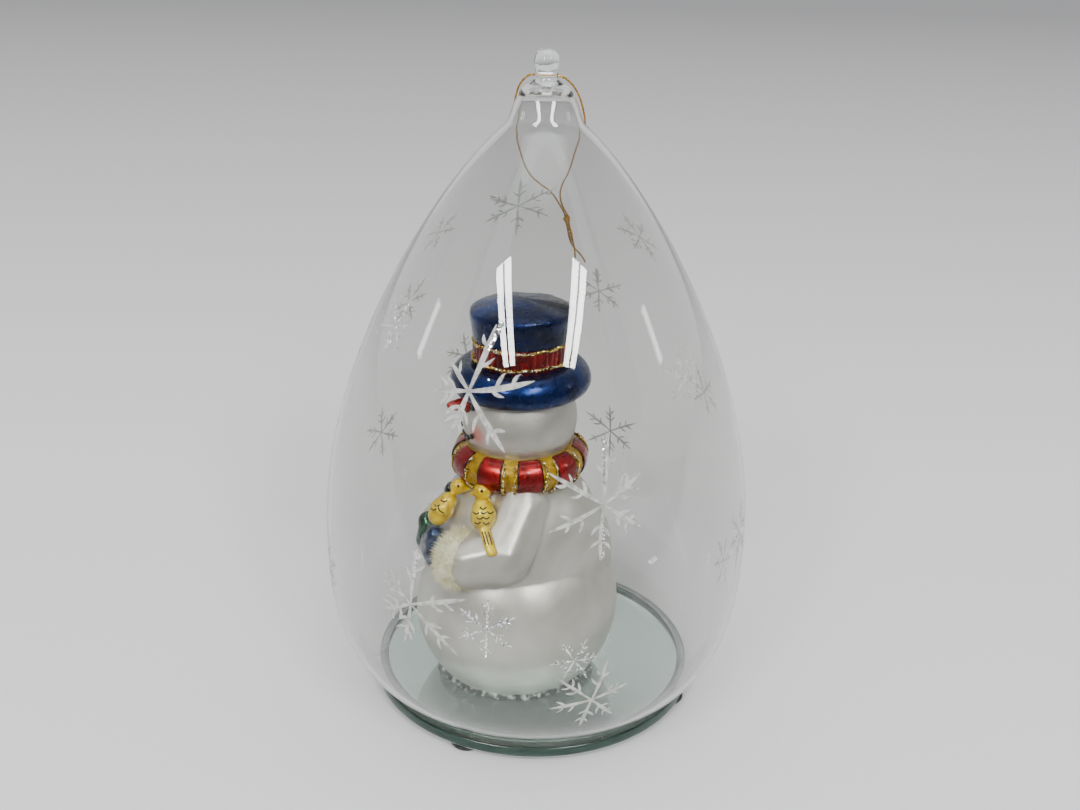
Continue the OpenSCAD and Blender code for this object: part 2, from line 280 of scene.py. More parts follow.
thread = {
    "diameter": 0.6, "plies": 3, "twist": 2.6, "sides": 12, "step": 0.16, "eyeTurn": 60,
    # along the eye's hole, outwards behind the dome, height
    "right": [(0, 0, 183.9), (1.5, 0, 183.9), (3, 0, 183.9), (4.4, 0.2, 183.5), (5.8, 1.2, 182.4),
              (7, 2.8, 180.7), (8, 4.4, 178.5), (8.9, 5.6, 175.5), (9.5, 6.7, 172.3), (9.1, 10.6, 169.1),
              (8, 14.8, 166.1), (6.6, 18.6, 163), (5.2, 22, 159.6), (3.8, 25.2, 155.8), (2.2, 28, 152),
              (0.4, 31, 148.6), (-0.8, 33.6, 144.8), (-0.4, 36.2, 140.6), (0.9, 39.2, 136.8),
              (1.2, 41.2, 133.6), (1.6, 43.2, 130.2), (2.1, 45.2, 126.6), (2.5, 46.4, 123.6),
              (2.4, 48, 120.2), (2, 49.4, 117.2)],
    "left": [(0, 0, 183.9), (-1.5, 0, 183.9), (-3, 0, 183.9), (-4.6, 0.2, 183.7), (-6.2, 0.9, 182.5),
             (-7.6, 2, 180.7), (-8.6, 3.2, 178.5), (-9.4, 4.6, 175.5), (-10, 6.4, 172.1), (-10.9, 9.6, 168.9),
             (-11.3, 13.6, 165.7), (-11.3, 17.4, 162.4), (-11, 21, 158.8), (-10.4, 24.4, 154.8),
             (-9, 27.8, 151), (-6.6, 30.8, 148), (-3.6, 33.2, 145.2), (-1.4, 36.2, 141), (-0.1, 39.2, 137.2),
             (0.2, 41.2, 134), (0.6, 43.2, 130.6), (1.1, 45.2, 127), (2.4, 46.4, 124.6), (4.4, 47.4, 122.2),
             (5.8, 48.2, 119.8)],
    "knotFrom": (0.4, 39.3, 136.8), "knotTo": (1.6, 45.2, 127.2),
}


def smoothRoute(points, step):
    # a Catmull-Rom line through the points, resampled to an even step
    line = []
    for i in range(len(points) - 1):
        a, b = points[max(i - 1, 0)], points[i]
        c, d = points[i + 1], points[min(i + 2, len(points) - 1)]
        for k in range(12):
            t = k / 12
            line.append(0.5 * (2 * b + (c - a) * t + (2 * a - 5 * b + 4 * c - d) * t * t
                               + (3 * b - a - 3 * c + d) * t ** 3))
    line.append(points[-1])
    total = sum((b - a).length for a, b in zip(line, line[1:]))
    count = max(2, round(total / step))
    even, gone, i = [line[0]], 0.0, 0
    for k in range(1, count):
        want = total * k / count
        while gone + (line[i + 1] - line[i]).length < want:
            gone += (line[i + 1] - line[i]).length
            i += 1
        even.append(line[i].lerp(line[i + 1], (want - gone) / (line[i + 1] - line[i]).length))
    return even + [line[-1]]


def sweep(name, line, radius, sides, plies=0, twist=1.0):
    # a tube along the line; with plies its section is lobed and turns, as twisted yarn does
    points, faces, before, run = [], [], up.orthogonal(), 0.0
    for i, p in enumerate(line):
        tangent = (line[min(i + 1, len(line) - 1)] - line[max(i - 1, 0)]).normalized()
        side = (before - tangent * before.dot(tangent)).normalized()
        before = side
        run += (p - line[i - 1]).length if i else 0
        for k in range(sides):
            angle = 2 * math.pi * k / sides
            lobe = 1 - 0.28 * (0.5 + 0.5 * math.cos(plies * angle)) if plies else 1
            spin = angle + (2 * math.pi * run / twist if plies else 0)
            points.append(p + (side * math.cos(spin) + tangent.cross(side) * math.sin(spin)) * radius * lobe)
    for i in range(len(line) - 1):
        for k in range(sides):
            a, b = i * sides + k, i * sides + (k + 1) % sides
            faces.append((a, b, b + sides, a + sides))
    faces.append(tuple(range(sides))[::-1])
    faces.append(tuple(len(points) - sides + k for k in range(sides)))
    return shape(name, points, faces)


def goldLurex():
    # metallised film slit and twisted into yarn: a warm metal that glints ply by ply
    mat = newMaterial("twistedGoldLurex")
    coords = add(mat, "TexCoord").outputs["Object"]
    glint = add(mat, "TexNoise", {"Vector": coords, "Scale": 2200.0, "Detail": 1.0}).outputs["Fac"]
    colour = add(mat, "ValToRGB", {"Fac": glint},
                 [(0.3, "#6a3e06"), (0.5, "#b47c16"), (0.68, "#f0c658")]).outputs["Color"]
    rough = add(mat, "ValToRGB", {"Fac": glint}, [(0.3, 0.45), (0.7, 0.22)]).outputs["Color"]
    shader = add(mat, "BsdfPrincipled", {"Base Color": colour, "Metallic": 0.7, "Roughness": rough})
    return finishMaterial(mat, shader.outputs[0])


lurex = goldLurex()
eyeTurn = Matrix.Rotation(math.radians(thread["eyeTurn"]), 3, "Z")


def woundKnot():
    # an overhand knot: the two legs wound round each other, with a tight turn at its head
    start, end = (eyeTurn @ (Vector(thread[k]) * mm) for k in ("knotFrom", "knotTo"))
    along = (end - start).normalized()
    side = along.orthogonal().normalized()
    other = along.cross(side)
    yarn = thread["diameter"] * mm
    parts = []
    for phase in (0, math.pi):
        line = []
        for k in range(90):
            t = k / 89
            head = 0.5 * math.exp(-((t - 0.14) / 0.1) ** 2)
            foot = 0.22 * math.exp(-((t - 0.72) / 0.09) ** 2)
            wide = (0.42 + head + foot) * mm
            angle = phase + 2 * math.pi * 4.2 * t
            line.append(start.lerp(end, t) + (side * math.cos(angle) + other * math.sin(angle)) * wide)
        parts.append(sweep("ply", line, yarn * 0.5, 10, thread["plies"], thread["twist"] * mm))
    for tilt, size in ((0.5, 0.95), (-0.6, 0.85), (0.1, 1.0)):
        line = []
        for k in range(41):
            angle = 2 * math.pi * k / 40
            flat = side * math.cos(angle) + (other * math.cos(tilt) + along * math.sin(tilt)) * math.sin(angle)
            line.append(start.lerp(end, 0.12) + flat * size * mm + along * 0.25 * mm * math.sin(2 * angle))
        parts.append(sweep("turn", line, yarn * 0.45, 10, thread["plies"], thread["twist"] * mm))
    return join("threadKnot", parts)


knot = present(woundKnot(), lurex, 60, "hanger", "gold_thread", "thread_knot")
for sideName, node in (("right", "thread_right"), ("left", "thread_left")):
    route = [eyeTurn @ (Vector(p) * mm) for p in thread[sideName]]
    line = smoothRoute(route, thread["step"] * mm)
    cord = sweep("thread" + sideName.title(), line, thread["diameter"] / 2 * mm,
                 thread["sides"], thread["plies"], thread["twist"] * mm)
    present(cord, lurex, 60, "hanger", "gold_thread", node)
    length = sum((b - a).length for a, b in zip(line, line[1:]))
    [tuple(p) for p in line]
print("thread laid over the dome")


# stage: a pale table with a line where a wall begins; painted shade greys it beyond that line, and a painted
# shadow darkens it towards the camera

stage = {"floor": 6.0, "wallLine": 0.108, "shadowFrom": 0.115, "shadowTo": 0.185}


def palePaper():
    # matt white sheet with the faintest mottling and a soft fold; painted shade greys it with distance, and a
    # painted shadow darkens the side towards the camera
    mat = newMaterial("palePaper")
    coords = add(mat, "TexCoord").outputs["Object"]
    lined = -math.radians(camera["bearing"] + camera["roll"] * 1.6)
    turn = add(mat, "VectorRotate", {"Vector": coords, "Angle": lined}, rotation_type="Z_AXIS").outputs[0]
    far = add(mat, "SeparateXYZ", {"Vector": turn}).outputs["X"]
    fold = add(mat, "MapRange", {"Value": far, "From Min": stage["wallLine"] - 0.001,
                                 "From Max": stage["wallLine"] + 0.0015}).outputs["Result"]
    mottle = add(mat, "TexNoise", {"Vector": coords, "Scale": 9.0, "Detail": 3.0}).outputs["Fac"]
    faint = add(mat, "Math", {0: mottle, 1: 0.06}, operation="MULTIPLY").outputs[0]
    tone = add(mat, "Math", {0: fold, 1: faint}, operation="SUBTRACT").outputs[0]
    sheet = add(mat, "ValToRGB", {"Fac": tone}, [(0.0, "#c9c9ca"), (1.0, "#cbcacb")]).outputs["Color"]
    # painted shade: the sheet greys with distance, as the light falls off towards the far wall
    farShadeShare = add(mat, "MapRange", {"Value": far, "From Min": 0.1, "From Max": 2.2}).outputs["Result"]
    pale = add(mat, "Mix", {0: farShadeShare, 6: sheet, 7: linear("#979799")}, data_type="RGBA").outputs[2]
    # painted shadow: the table turns dark grey on the side towards the camera
    shadow = add(mat, "MapRange", {"Value": far, "From Min": -stage["shadowFrom"],
                                   "From Max": -stage["shadowTo"]},
                 interpolation_type="SMOOTHSTEP").outputs["Result"]
    colour = add(mat, "Mix", {0: shadow, 6: pale, 7: linear("#4a4a4c")}, data_type="RGBA").outputs[2]
    shader = add(mat, "BsdfPrincipled", {"Base Color": colour, "Roughness": 0.75})
    return finishMaterial(mat, shader.outputs[0])


deselect()
bpy.ops.mesh.primitive_grid_add(x_subdivisions=8, y_subdivisions=8, size=stage["floor"])
floor = bpy.context.object
floor.name = "table"
dress(floor, palePaper())


# lights: a room that is dim behind the camera and pale beyond the table, with two pairs of ceiling tubes

lights = {
    # brightness of the room behind the camera, to the sides, beyond the table and overhead
    "nearRoom": 0.04, "aside": 0.55, "farWall": 1.0, "overhead": 2.3,
    "coolness": (1, 1.005, 1.015), "overheadFrom": 0.84, "overheadTo": 0.94,
    # ceiling tubes: height over the dome, how far behind the camera they start and end, in heights
    "tubeHeight": 1.25, "tubeFrom": 0.80, "tubeTo": 1.85, "tubeWide": 0.15, "tubeApart": 0.20, "tubePower": 76,
    "tubeSides": (-0.69, 0.68), "tubeBase": 0.13,
    # side windows
    "windowOut": 1.5, "windowBack": 0.1, "windowHeight": 0.6, "windowSize": (0.09, 0.26), "windowPower": 0.7,
}

world = bpy.data.worlds.new("room")
bpy.context.scene.world = world
world.use_nodes = True
around = add(world, "TexCoord").outputs["Generated"]
heading = add(world, "VectorMath", {0: around, 1: away}, operation="DOT_PRODUCT").outputs["Value"]
rise = add(world, "MapRange", {"Value": heading, "From Min": -1.0}).outputs["Result"]
shade = add(world, "ValToRGB", {"Fac": rise},
            [(0.2, lights["nearRoom"]), (0.5, lights["aside"]), (0.9, lights["farWall"])]).outputs["Color"]
cool = add(world, "VectorMath", {0: shade, 1: lights["coolness"]}, operation="MULTIPLY").outputs[0]
climb = add(world, "SeparateXYZ", {"Vector": around}).outputs["Z"]
overhead = add(world, "MapRange", {"Value": climb, "From Min": lights["overheadFrom"],
                                   "From Max": lights["overheadTo"], "To Max": lights["overhead"]},
               interpolation_type="SMOOTHSTEP").outputs["Result"]
glow = add(world, "VectorMath", {0: cool, 1: overhead}).outputs[0]
world.node_tree.links.new(glow, world.node_tree.nodes["Background"].inputs["Color"])


def areaLight(name, place, target, wide, tall, power, upWay=None):
    deselect()
    bpy.ops.object.light_add(type="AREA", location=place)
    lamp = bpy.context.object
    lamp.name = name
    lamp.data.shape = "RECTANGLE"
    lamp.data.size, lamp.data.size_y = wide, tall
    lamp.data.energy = power
    facing = (Vector(place) - Vector(target)).normalized()
    sideWay = (upWay or up).cross(facing).normalized()
    lamp.matrix_world = Matrix((sideWay, facing.cross(sideWay), facing)).transposed().to_4x4()
    lamp.matrix_world.translation = Vector(place)
    return lamp


height = lights["tubeHeight"]
for sideways in lights["tubeSides"]:
    for offset in (-0.5, 0.5):
        middle = (-away * (lights["tubeFrom"] + lights["tubeTo"]) / 2 * height
                  + right * (sideways * height + offset * lights["tubeApart"])
                  + up * (lights["tubeBase"] + height))
        areaLight("ceilingTube", middle, middle - up, lights["tubeWide"],
                  (lights["tubeTo"] - lights["tubeFrom"]) * height, lights["tubePower"] / 2, upWay=away)
for sideways in (-1, 1):
    place = right * sideways * lights["windowOut"] - away * lights["windowBack"] + up * lights["windowHeight"]
    areaLight("sideWindow", place, (0, 0, 0.12), *lights["windowSize"], lights["windowPower"])
print("stage and lights ready")


# mirror plate: 3 mm float glass with a ground edge, silvered, painted and on four rubber feet

plate = {"radius": 50, "bevel": 0.6, "lift": 0.01, "silverInset": 0.15}


def clearGlass(name, tint, wave=0.0, waveSize=20.0, ior=1.5, depth=None):
    # soda glass: mirrors a little, bends what is behind it, and lets lamps through to what it covers
    mat = newMaterial(name)
    coords = add(mat, "TexCoord").outputs["Object"]
    shader = add(mat, "BsdfPrincipled", {"Base Color": linear(tint), "Roughness": 0.0, "IOR": ior,
                                         "Transmission Weight": 1.0})
    if wave:
        swell = add(mat, "TexNoise", {"Vector": coords, "Scale": 1000 / waveSize, "Detail": 1.0})
        bump = add(mat, "Bump", {"Height": swell.outputs["Fac"], "Strength": wave, "Distance": mm})
        mat.node_tree.links.new(bump.outputs[0], shader.inputs["Normal"])
    through = add(mat, "BsdfTransparent", {"Color": linear(tint)})
    path = add(mat, "LightPath").outputs
    passing = add(mat, "Math", {0: path["Is Shadow Ray"], 1: path["Is Diffuse Ray"]},
                  operation="MAXIMUM").outputs[0]
    mix = add(mat, "MixShader", {"Fac": passing, 1: shader.outputs[0], 2: through.outputs[0]})
    volume = None
    if depth:
        volume = add(mat, "VolumeAbsorption", {"Color": linear(depth[0]), "Density": depth[1]}).outputs[0]
    return finishMaterial(mat, mix.outputs[0], volume)


# chemically deposited silver seen through glass, a touch hazy with dust and wear
plateSilver = plainFinish("plateSilver", 60.0, 4.0, [(0.35, "#dfe6e5"), (0.65, "#e9eeed")],
                          {"Metallic": 0.85, "Roughness": 0.03})
# sprayed grey lacquer behind the silver, dull, with orange peel
backingPaint = plainFinish("mirrorBackingPaint", 1500.0, 2.0, [(0.3, "#57595a"), (0.7, "#66696a")],
                           {"Roughness": 0.6}, bump=(0.3, 0.1))
# die-cut black rubber, soft and slightly dusty
rubber = plainFinish("blackRubber", 700.0, 5.0, [(0.4, "#141415"), (0.75, "#2b2b2c")],
                     {"Roughness": 0.55}, bump=(0.35, 0.15))
# a seamed and wet-ground edge, where the iron in the glass shows dark green
groundEdge = plainFinish("groundGreenEdge", 160.0, 3.0, [(0.3, "#17352b"), (0.7, "#395a4e")],
                         {"Roughness": 0.22, "IOR": 1.5, "Transmission Weight": 0.55}, stretch=(1, 1, 6))

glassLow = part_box("plate_glass")[0].z / mm + plate["lift"]
glassHigh = plateTop / mm
r, b = plate["radius"], plate["bevel"]
mirrorGlass = turned("mirrorGlass", [(0, glassLow), (r - b, glassLow), (r - b * 0.45, glassLow + b * 0.12),
                                     (r - b * 0.1, glassLow + b * 0.5), (r, glassLow + b), (r, glassHigh - b),
                                     (r - b * 0.1, glassHigh - b * 0.5), (r - b * 0.45, glassHigh - b * 0.12),
                                     (r - b, glassHigh), (0, glassHigh)], 192)
dress(mirrorGlass, clearGlass("floatGlass", "#f4fbf8", depth=("#5f9f86", 7.0)), groundEdge)
for face in mirrorGlass.data.polygons:
    outward = Vector((face.center.x, face.center.y, 0)).normalized()
    face.material_index = int(face.normal.dot(outward) > 0.5)
smooth(mirrorGlass, 50)
hand(mirrorGlass, "base", "plate_glass", "plate_glass")
silverLow, silverHigh = (corner.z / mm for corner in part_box("silver_coat"))
reach = plate["radius"] - plate["silverInset"]
film = [(0, silverLow), (reach, silverLow), (reach, silverHigh), (0, silverHigh)]
present(turned("silverFilm", film, 192), plateSilver, 40, "base", "mirror_silver", "silver_coat")
dress(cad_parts["backing_paint"], backingPaint)
for node in ("foot_front", "foot_right", "foot_back", "foot_left"):
    dress(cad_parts[node], rubber)
print("mirror plate made")


# dome: blown teardrop with a fire-polished rim, a glass eye on top

dome = {
    "radius": 63, "rim": 47, "wall": 1.2, "power": 3.14,
    "rimZ": plateTop / mm + 0.1, "bellyZ": plateTop / mm + 47.3,
    "coneFrom": (63, 97.8), "coneTo": (33.9, 150.5), "coneEnd": (10.3, 171.6),
    "nipple": [(9.5, 173.8), (8.9, 175.7), (7.9, 178), (7, 179.7), (6, 180.9), (4.6, 181.6)],
    "eye": [(4.6, 0), (3.7, 0.7), (3.1, 1.7), (3, 3), (3.2, 4.4), (3.4, 5.8), (3.1, 7.3), (2.3, 8.4), (1.2, 9),
            (0, 9.1)],
    "hole": 0.9, "holeZ": 2.3,
}


def domeOutline(bellySteps, coneSteps):
    radius, power = dome["radius"], dome["power"]
    height = (dome["bellyZ"] - dome["rimZ"]) / (1 - (dome["rim"] / radius) ** power) ** (1 / power)
    line = []
    for i in range(bellySteps):
        z = dome["rimZ"] + (dome["bellyZ"] - dome["rimZ"]) * i / bellySteps
        line.append(Vector((radius * (1 - ((dome["bellyZ"] - z) / height) ** power) ** (1 / power), z)))
    a, b = Vector((dome["radius"], dome["bellyZ"])), Vector(dome["coneFrom"])
    c, d = Vector(dome["coneTo"]), Vector(dome["coneEnd"])
    for i in range(coneSteps + 1):
        t = i / coneSteps
        line.append(a * (1 - t) ** 3 + b * 3 * t * (1 - t) ** 2 + c * 3 * t * t * (1 - t) + d * t ** 3)
    return line + [Vector(p) for p in dome["nipple"]]


def inward(line, wall):
    moved = []
    for i, p in enumerate(line):
        way = (line[min(i + 1, len(line) - 1)] - line[max(i - 1, 0)]).normalized()
        moved.append(p + Vector((-way.y, way.x)) * wall)
    return moved


outer = domeOutline(24, 40)
inner = [p for p in inward(outer, dome["wall"]) if p.y < dome["nipple"][-2][1] - 1.5]
inner[0] = Vector((inner[0].x, outer[0].y + 0.1))
lip = (outer[0] + inner[0]) / 2 + Vector((0, -0.08))
tip = outer[-1]
domeLine = [(0, inner[-1].y + 0.3), *reversed(inner), lip, *outer, (2.4, tip.y + 0.05), (0, tip.y + 0.1)]
present(turned("blownDome", domeLine, 160),
        clearGlass("blownGlass", "#eaebe9", wave=0.05, waveSize=34.0, ior=1.47),
        60, "dome", "clear_glass", "glass_dome")


def glassEye():
    # a gather of solid glass pierced while hot
    body = turned("glassEye", [(0, domeTop / mm + 0.12)] + [(x, domeTop / mm + z + 0.12 * (z == 0))
                                                            for x, z in dome["eye"]], 48)
    deselect()
    bpy.ops.mesh.primitive_cylinder_add(vertices=32, radius=dome["hole"] * mm, depth=14 * mm,
                                        location=(0, 0, domeTop + dome["holeZ"] * mm),
                                        rotation=(0, math.pi / 2, math.radians(thread["eyeTurn"])))
    cutter = bpy.context.object
    applyModifier(body, "BOOLEAN", operation="DIFFERENCE", object=cutter, solver="EXACT")
    bpy.data.objects.remove(cutter)
    return body


present(glassEye(), clearGlass("solidEyeGlass", "#f8fbfb", wave=0.4, waveSize=3.0, ior=1.5),
        50, "dome", "clear_glass", "hanging_eye")
print("dome blown")


# snowflakes: brushed by hand on the outside of the dome in white, some dusted with glitter

flakes = {
    "lift": 0.05, "thick": 0.06, "seed": 7, "armWidth": 0.078, "chips": 90, "chipSeed": 12,
    # angle round the dome, height, arm length, turn, kind of paint, share of each arm (round from the top)
    "places": [(-41, 113, 18.5, 17, "white", (1.0, .92, 1.02, .62, .5, .48)),
               (-3, 87, 16, 3, "white", (1.1, .75, .75, 1.0, 1.05, 1.0)),
               (-51, 55, 17.5, 6, "white", (.95, 1.0, 1.05, .7, .6, .7)),
               (-31, 53, 9.5, 2, "glitter", (1, 1, .9, 1, 1, 1)),
               (-10, 44, 7.5, 25, "glitter", (1, .9, 1, 1, .9, 1)),
               (-5, 30, 12.5, 14, "white", (1.1, .9, .8, .9, .9, 1)),
               (173, 140.5, 12.5, 2, "white", (1, .9, 1, 1, 1, 1.1)),
               (217, 136, 8.5, 20, "white", (1, 1, 1, .9, 1, 1)),
               (217, 112, 9.5, 30, "white", (1, .9, 1, 1, .9, 1)),
               (217, 64, 10.5, 5, "white", (1, 1, .9, 1, 1, .9)),
               (138, 110, 10, -3, "white", (1, .9, 1, .9, 1, 1)),
               (109, 135, 10, 22, "white", (1, 1, .9, 1, 1, .9)),
               (136, 55.5, 11, 0, "white", (.9, 1, 1, 1, .9, 1)),
               (95, 85, 9.5, 12, "white", (1, 1, 1, .9, 1, 1)),
               (78, 33, 9, 6, "white", (1, .9, 1, 1, 1, .9)),
               (250, 84, 10, 17, "white", (1, .9, 1, 1, .9, 1)),
               (282, 122, 9, 9, "glitter", (1, 1, 1, .9, 1, 1)),
               (268, 45, 9.5, -6, "white", (1, 1, .9, 1, 1, 1)),
               (48, 62, 10.5, 20, "white", (1, .9, 1, 1, .9, 1)),
               (30, 112, 9, 3, "white", (1, 1, 1, .9, 1, 1)),
               (185, 84, 10, 11, "white", (1, .9, 1, 1, 1, .9))],
    # glitter strokes: flake, arm, from and to along the arm, width
    "dusted": [(0, 0, 0.62, 1.04, 1.3), (1, 0, 0.3, 1.0, 0.7), (1, 3, 0.3, 0.9, 0.7), (2, 0, 0.5, 0.9, 0.8),
               (6, 1, 0.4, 1.0, 0.8), (10, 0, 0.4, 0.9, 0.7)],
    # barbs on an arm: distance out, length, width, side
    "barbs": [(0.36, 0.27, 0.055, 1), (0.41, 0.25, 0.055, -1), (0.60, 0.23, 0.05, 1), (0.65, 0.20, 0.05, -1)],
}

# running length along the dome's outline, so that a flake keeps its size on the slope
runs = [0.0]
for a, b in zip(outer, outer[1:]):
    runs.append(runs[-1] + (b - a).length)


def runAt(z):
    for i in range(len(outer) - 1):
        if outer[i].y <= z <= outer[i + 1].y:
            return runs[i] + (runs[i + 1] - runs[i]) * (z - outer[i].y) / (outer[i + 1].y - outer[i].y)
    return runs[-1]


def stepAt(run):
    return next((k for k in range(len(runs) - 1) if runs[k + 1] > run), len(runs) - 2)


def onDome(angle, run, lift):
    # a point on the outside of the dome, lifted off it
    i = stepAt(run)
    t = (run - runs[i]) / (runs[i + 1] - runs[i])
    p = outer[i].lerp(outer[i + 1], t)
    way = (outer[i + 1] - outer[i]).normalized()
    p = p + Vector((way.y, -way.x)) * lift
    return Vector((p.x * math.cos(angle), p.x * math.sin(angle), p.y)) * mm


def stroke(start, end, wide, bend, tipShare):
    # one pull of a round brush: it swells past the middle and leaves in a point
    a, b = Vector(start), Vector(end)
    way = b - a
    sideWay = Vector((-way.y, way.x))
    rows = []
    steps = 9
    for k in range(steps + 1):
        t = k / steps
        swell = math.sin(math.pi * min(1, 0.18 + 0.82 * t) ** tipShare) ** 0.7 if k < steps else 0.0
        middle = a + way * t + sideWay * bend * math.sin(math.pi * t)
        half = sideWay.normalized() * wide / 2 * max(swell, 0.06)
        rows.append((middle + half, middle, middle - half))
    return rows


def flake(index, place):
    angle, z, size, turn, _, shares = place
    pen = random.Random(flakes["seed"] + index)
    points, faces = [], []
    strokes = []
    for k in range(6):
        share = shares[k] * pen.uniform(0.94, 1.06)
        lean = math.radians(60 * k + turn + pen.uniform(-5, 5))
        way = Vector((math.sin(lean), math.cos(lean)))
        across = Vector((way.y, -way.x))
        strokes.append((way * -0.02, way * share, flakes["armWidth"] * pen.uniform(0.85, 1.15),
                        pen.uniform(-0.02, 0.02), 1.5))
        for out, long, wide, turnTo in flakes["barbs"]:
            if pen.random() < 0.12:
                continue
            root = way * share * (out + pen.uniform(-0.03, 0.03))
            spread = math.radians(pen.uniform(38, 58))
            barb = (way * math.cos(spread) + across * turnTo * math.sin(spread)) * long * pen.uniform(0.8, 1.15)
            strokes.append((root, root + barb, wide * pen.uniform(0.85, 1.2),
                            -turnTo * pen.uniform(0.02, 0.14), 1.2))
    run = runAt(z)
    turnAngle = math.radians(angle)
    for start, end, wide, bend, tipShare in strokes:
        rows = stroke(start, end, wide, bend, tipShare)
        base = len(points)
        for row in rows:
            for p in row:
                here = run + p.y * size
                radius = max(8.0, outer[stepAt(here)].x)
                points.append(onDome(turnAngle + p.x * size / radius, here, flakes["lift"]))
        for k in range(len(rows) - 1):
            q = base + 3 * k
            faces += [(q, q + 3, q + 4, q + 1), (q + 1, q + 4, q + 5, q + 2)]
    return shape("snowflake%02d" % (index + 1), points, faces)


def dustedArm(index, arm, fromShare, toShare, width):
    # a stroke of glitter glue over the outer part of one arm
    angle, z, size, turn, _, shares = flakes["places"][index]
    lean = math.radians(60 * arm + turn)
    way = Vector((math.sin(lean), math.cos(lean))) * shares[arm] * size
    points, faces = [], []
    steps = 24
    grain = random.Random(index * 7 + arm)
    for k in range(steps + 1):
        p = way * (fromShare + (toShare - fromShare) * k / steps)
        for sideWay in (-1, 0, 1):
            half = sideWay * width * grain.uniform(0.75, 1.2) / 2
            q = p + Vector((way.y, -way.x)).normalized() * half
            here = runAt(z) + q.y
            radius = max(8.0, onDome(0, here, 0).x / mm)
            points.append(onDome(math.radians(angle) + q.x / radius, here, flakes["lift"] + 0.1))
    for k in range(steps):
        for j in (0, 1):
            a = 3 * k + j
            faces.append((a, a + 3, a + 4, a + 1))
    return shape("dust", points, faces)


def strayChips(count, seed):
    # loose foil that stuck to the dome round the flakes
    fall = random.Random(seed)
    points, faces = [], []
    for _ in range(count):
        angle, z, size = fall.choice(flakes["places"])[:3]
        here = runAt(z) + fall.gauss(0, size * 0.8)
        turn = math.radians(angle) + fall.gauss(0, size * 0.8) / 50
        if not 2 < here < runs[-1] - 30:
            continue
        middle = onDome(turn, here, 0.25)
        way = (middle - onDome(turn, here, -3)).normalized()
        tilt = (way + Vector([fall.uniform(-0.5, 0.5) for _ in range(3)])).normalized()
        a = tilt.orthogonal().normalized() * fall.uniform(0.14, 0.3) * mm
        b = tilt.cross(a) * fall.uniform(0.8, 1.5)
        base = len(points)
        points += [middle + a, middle + b, middle - a, middle - b]
        faces.append((base, base + 1, base + 2, base + 3))
    return shape("strayGlitter", points, faces)


def brushedWhite():
    # titanium white glass paint, thin at its brush marks, so that light comes through it
    mat = newMaterial("brushedWhitePaint")
    coords = add(mat, "TexCoord").outputs["Object"]
    brush = add(mat, "TexNoise", {"Vector": coords, "Scale": 420.0, "Detail": 4.0}).outputs["Fac"]
    colour = add(mat, "ValToRGB", {"Fac": brush}, [(0.3, "#d2d2cf"), (0.6, "#eeeeec")]).outputs["Color"]
    bump = add(mat, "Bump", {"Height": brush, "Strength": 0.5, "Distance": 0.1 * mm}).outputs[0]
    body = add(mat, "BsdfPrincipled", {"Base Color": colour, "Roughness": 0.5, "Normal": bump})
    glow = add(mat, "BsdfTranslucent", {"Color": colour})
    lit = add(mat, "MixShader", {"Fac": 0.6, 1: body.outputs[0], 2: glow.outputs[0]})
    thin = add(mat, "ValToRGB", {"Fac": brush}, [(0.25, 0.45), (0.55, 1.0)]).outputs["Color"]
    clear = add(mat, "BsdfTransparent")
    mix = add(mat, "MixShader", {"Fac": thin, 1: clear.outputs[0], 2: lit.outputs[0]})
    return finishMaterial(mat, mix.outputs[0])


def glitterPaint(name, hue, fill):
    # clear glue dusted with fine foil: each flake of foil lies at its own tilt and flashes its own colour.
    # Real foil is 0.2 mm; it is drawn 0.4 mm across to show.
    mat = newMaterial(name)
    coords = add(mat, "TexCoord").outputs["Object"]
    cells = add(mat, "TexVoronoi", {"Vector": coords, "Scale": 2500.0})
    tilt = add(mat, "VectorMath", {0: cells.outputs["Color"], 1: (0.5,) * 3}, operation="SUBTRACT").outputs[0]
    normal = add(mat, "NewGeometry").outputs["Normal"]
    leaning = add(mat, "VectorMath", {0: tilt, 1: (1.1,) * 3, 2: normal}, operation="MULTIPLY_ADD").outputs[0]
    facing = add(mat, "VectorMath", {0: leaning}, operation="NORMALIZE").outputs[0]
    sort = add(mat, "SeparateColor", {"Color": cells.outputs["Color"]}).outputs[0]
    colour = add(mat, "ValToRGB", {"Fac": sort}, hue).outputs["Color"]
    foil = add(mat, "BsdfPrincipled", {"Base Color": colour, "Metallic": 0.9, "Roughness": 0.18,
                                       "Normal": facing})
    there = add(mat, "Math", {0: sort, 1: 1 - fill}, operation="GREATER_THAN").outputs[0]
    clear = add(mat, "BsdfTransparent")
    mix = add(mat, "MixShader", {"Fac": there, 1: clear.outputs[0], 2: foil.outputs[0]})
    return finishMaterial(mat, mix.outputs[0])


whitePaint = brushedWhite()
iceGlitter = glitterPaint("iceGlitter", [(0.3, "#ffffff"), (0.55, "#e6f5ee"), (0.75, "#f5e3ef"),
                                         (0.9, "#ffffff")], 0.75)
for index, place in enumerate(flakes["places"]):
    one = flake(index, place)
    applyModifier(one, "SOLIDIFY", thickness=flakes["thick"] * mm, offset=1)
    present(one, iceGlitter if place[4] == "glitter" else whitePaint, 60, "dome", "clear_glass")
dusted = join("flakeGlitter", [dustedArm(*arm) for arm in flakes["dusted"]])
for glitter in (dusted, strayChips(flakes["chips"], flakes["chipSeed"])):
    present(glitter, iceGlitter, None, "dome", "clear_glass")
print("snowflakes painted")


# snowman: one mould-blown figure, silvered inside and lacquered pearl white outside

figure = {"x": 4, "y": -7, "seat": 5.5, "narrow": 0.92, "voxel": 0.62, "softness": 4}
cx, cy = figure["x"], figure["y"]


def at(x, y, z):
    # a point given from the figure's own middle line
    return (cx + x, cy + y, z)


def narrow(obj):
    # the mould is a little flatter from side to side than from front to back
    obj.data.transform(Matrix.Translation((cx * mm, 0, 0)) @ Matrix.Diagonal((figure["narrow"], 1, 1, 1))
                       @ Matrix.Translation((-cx * mm, 0, 0)))
    return obj


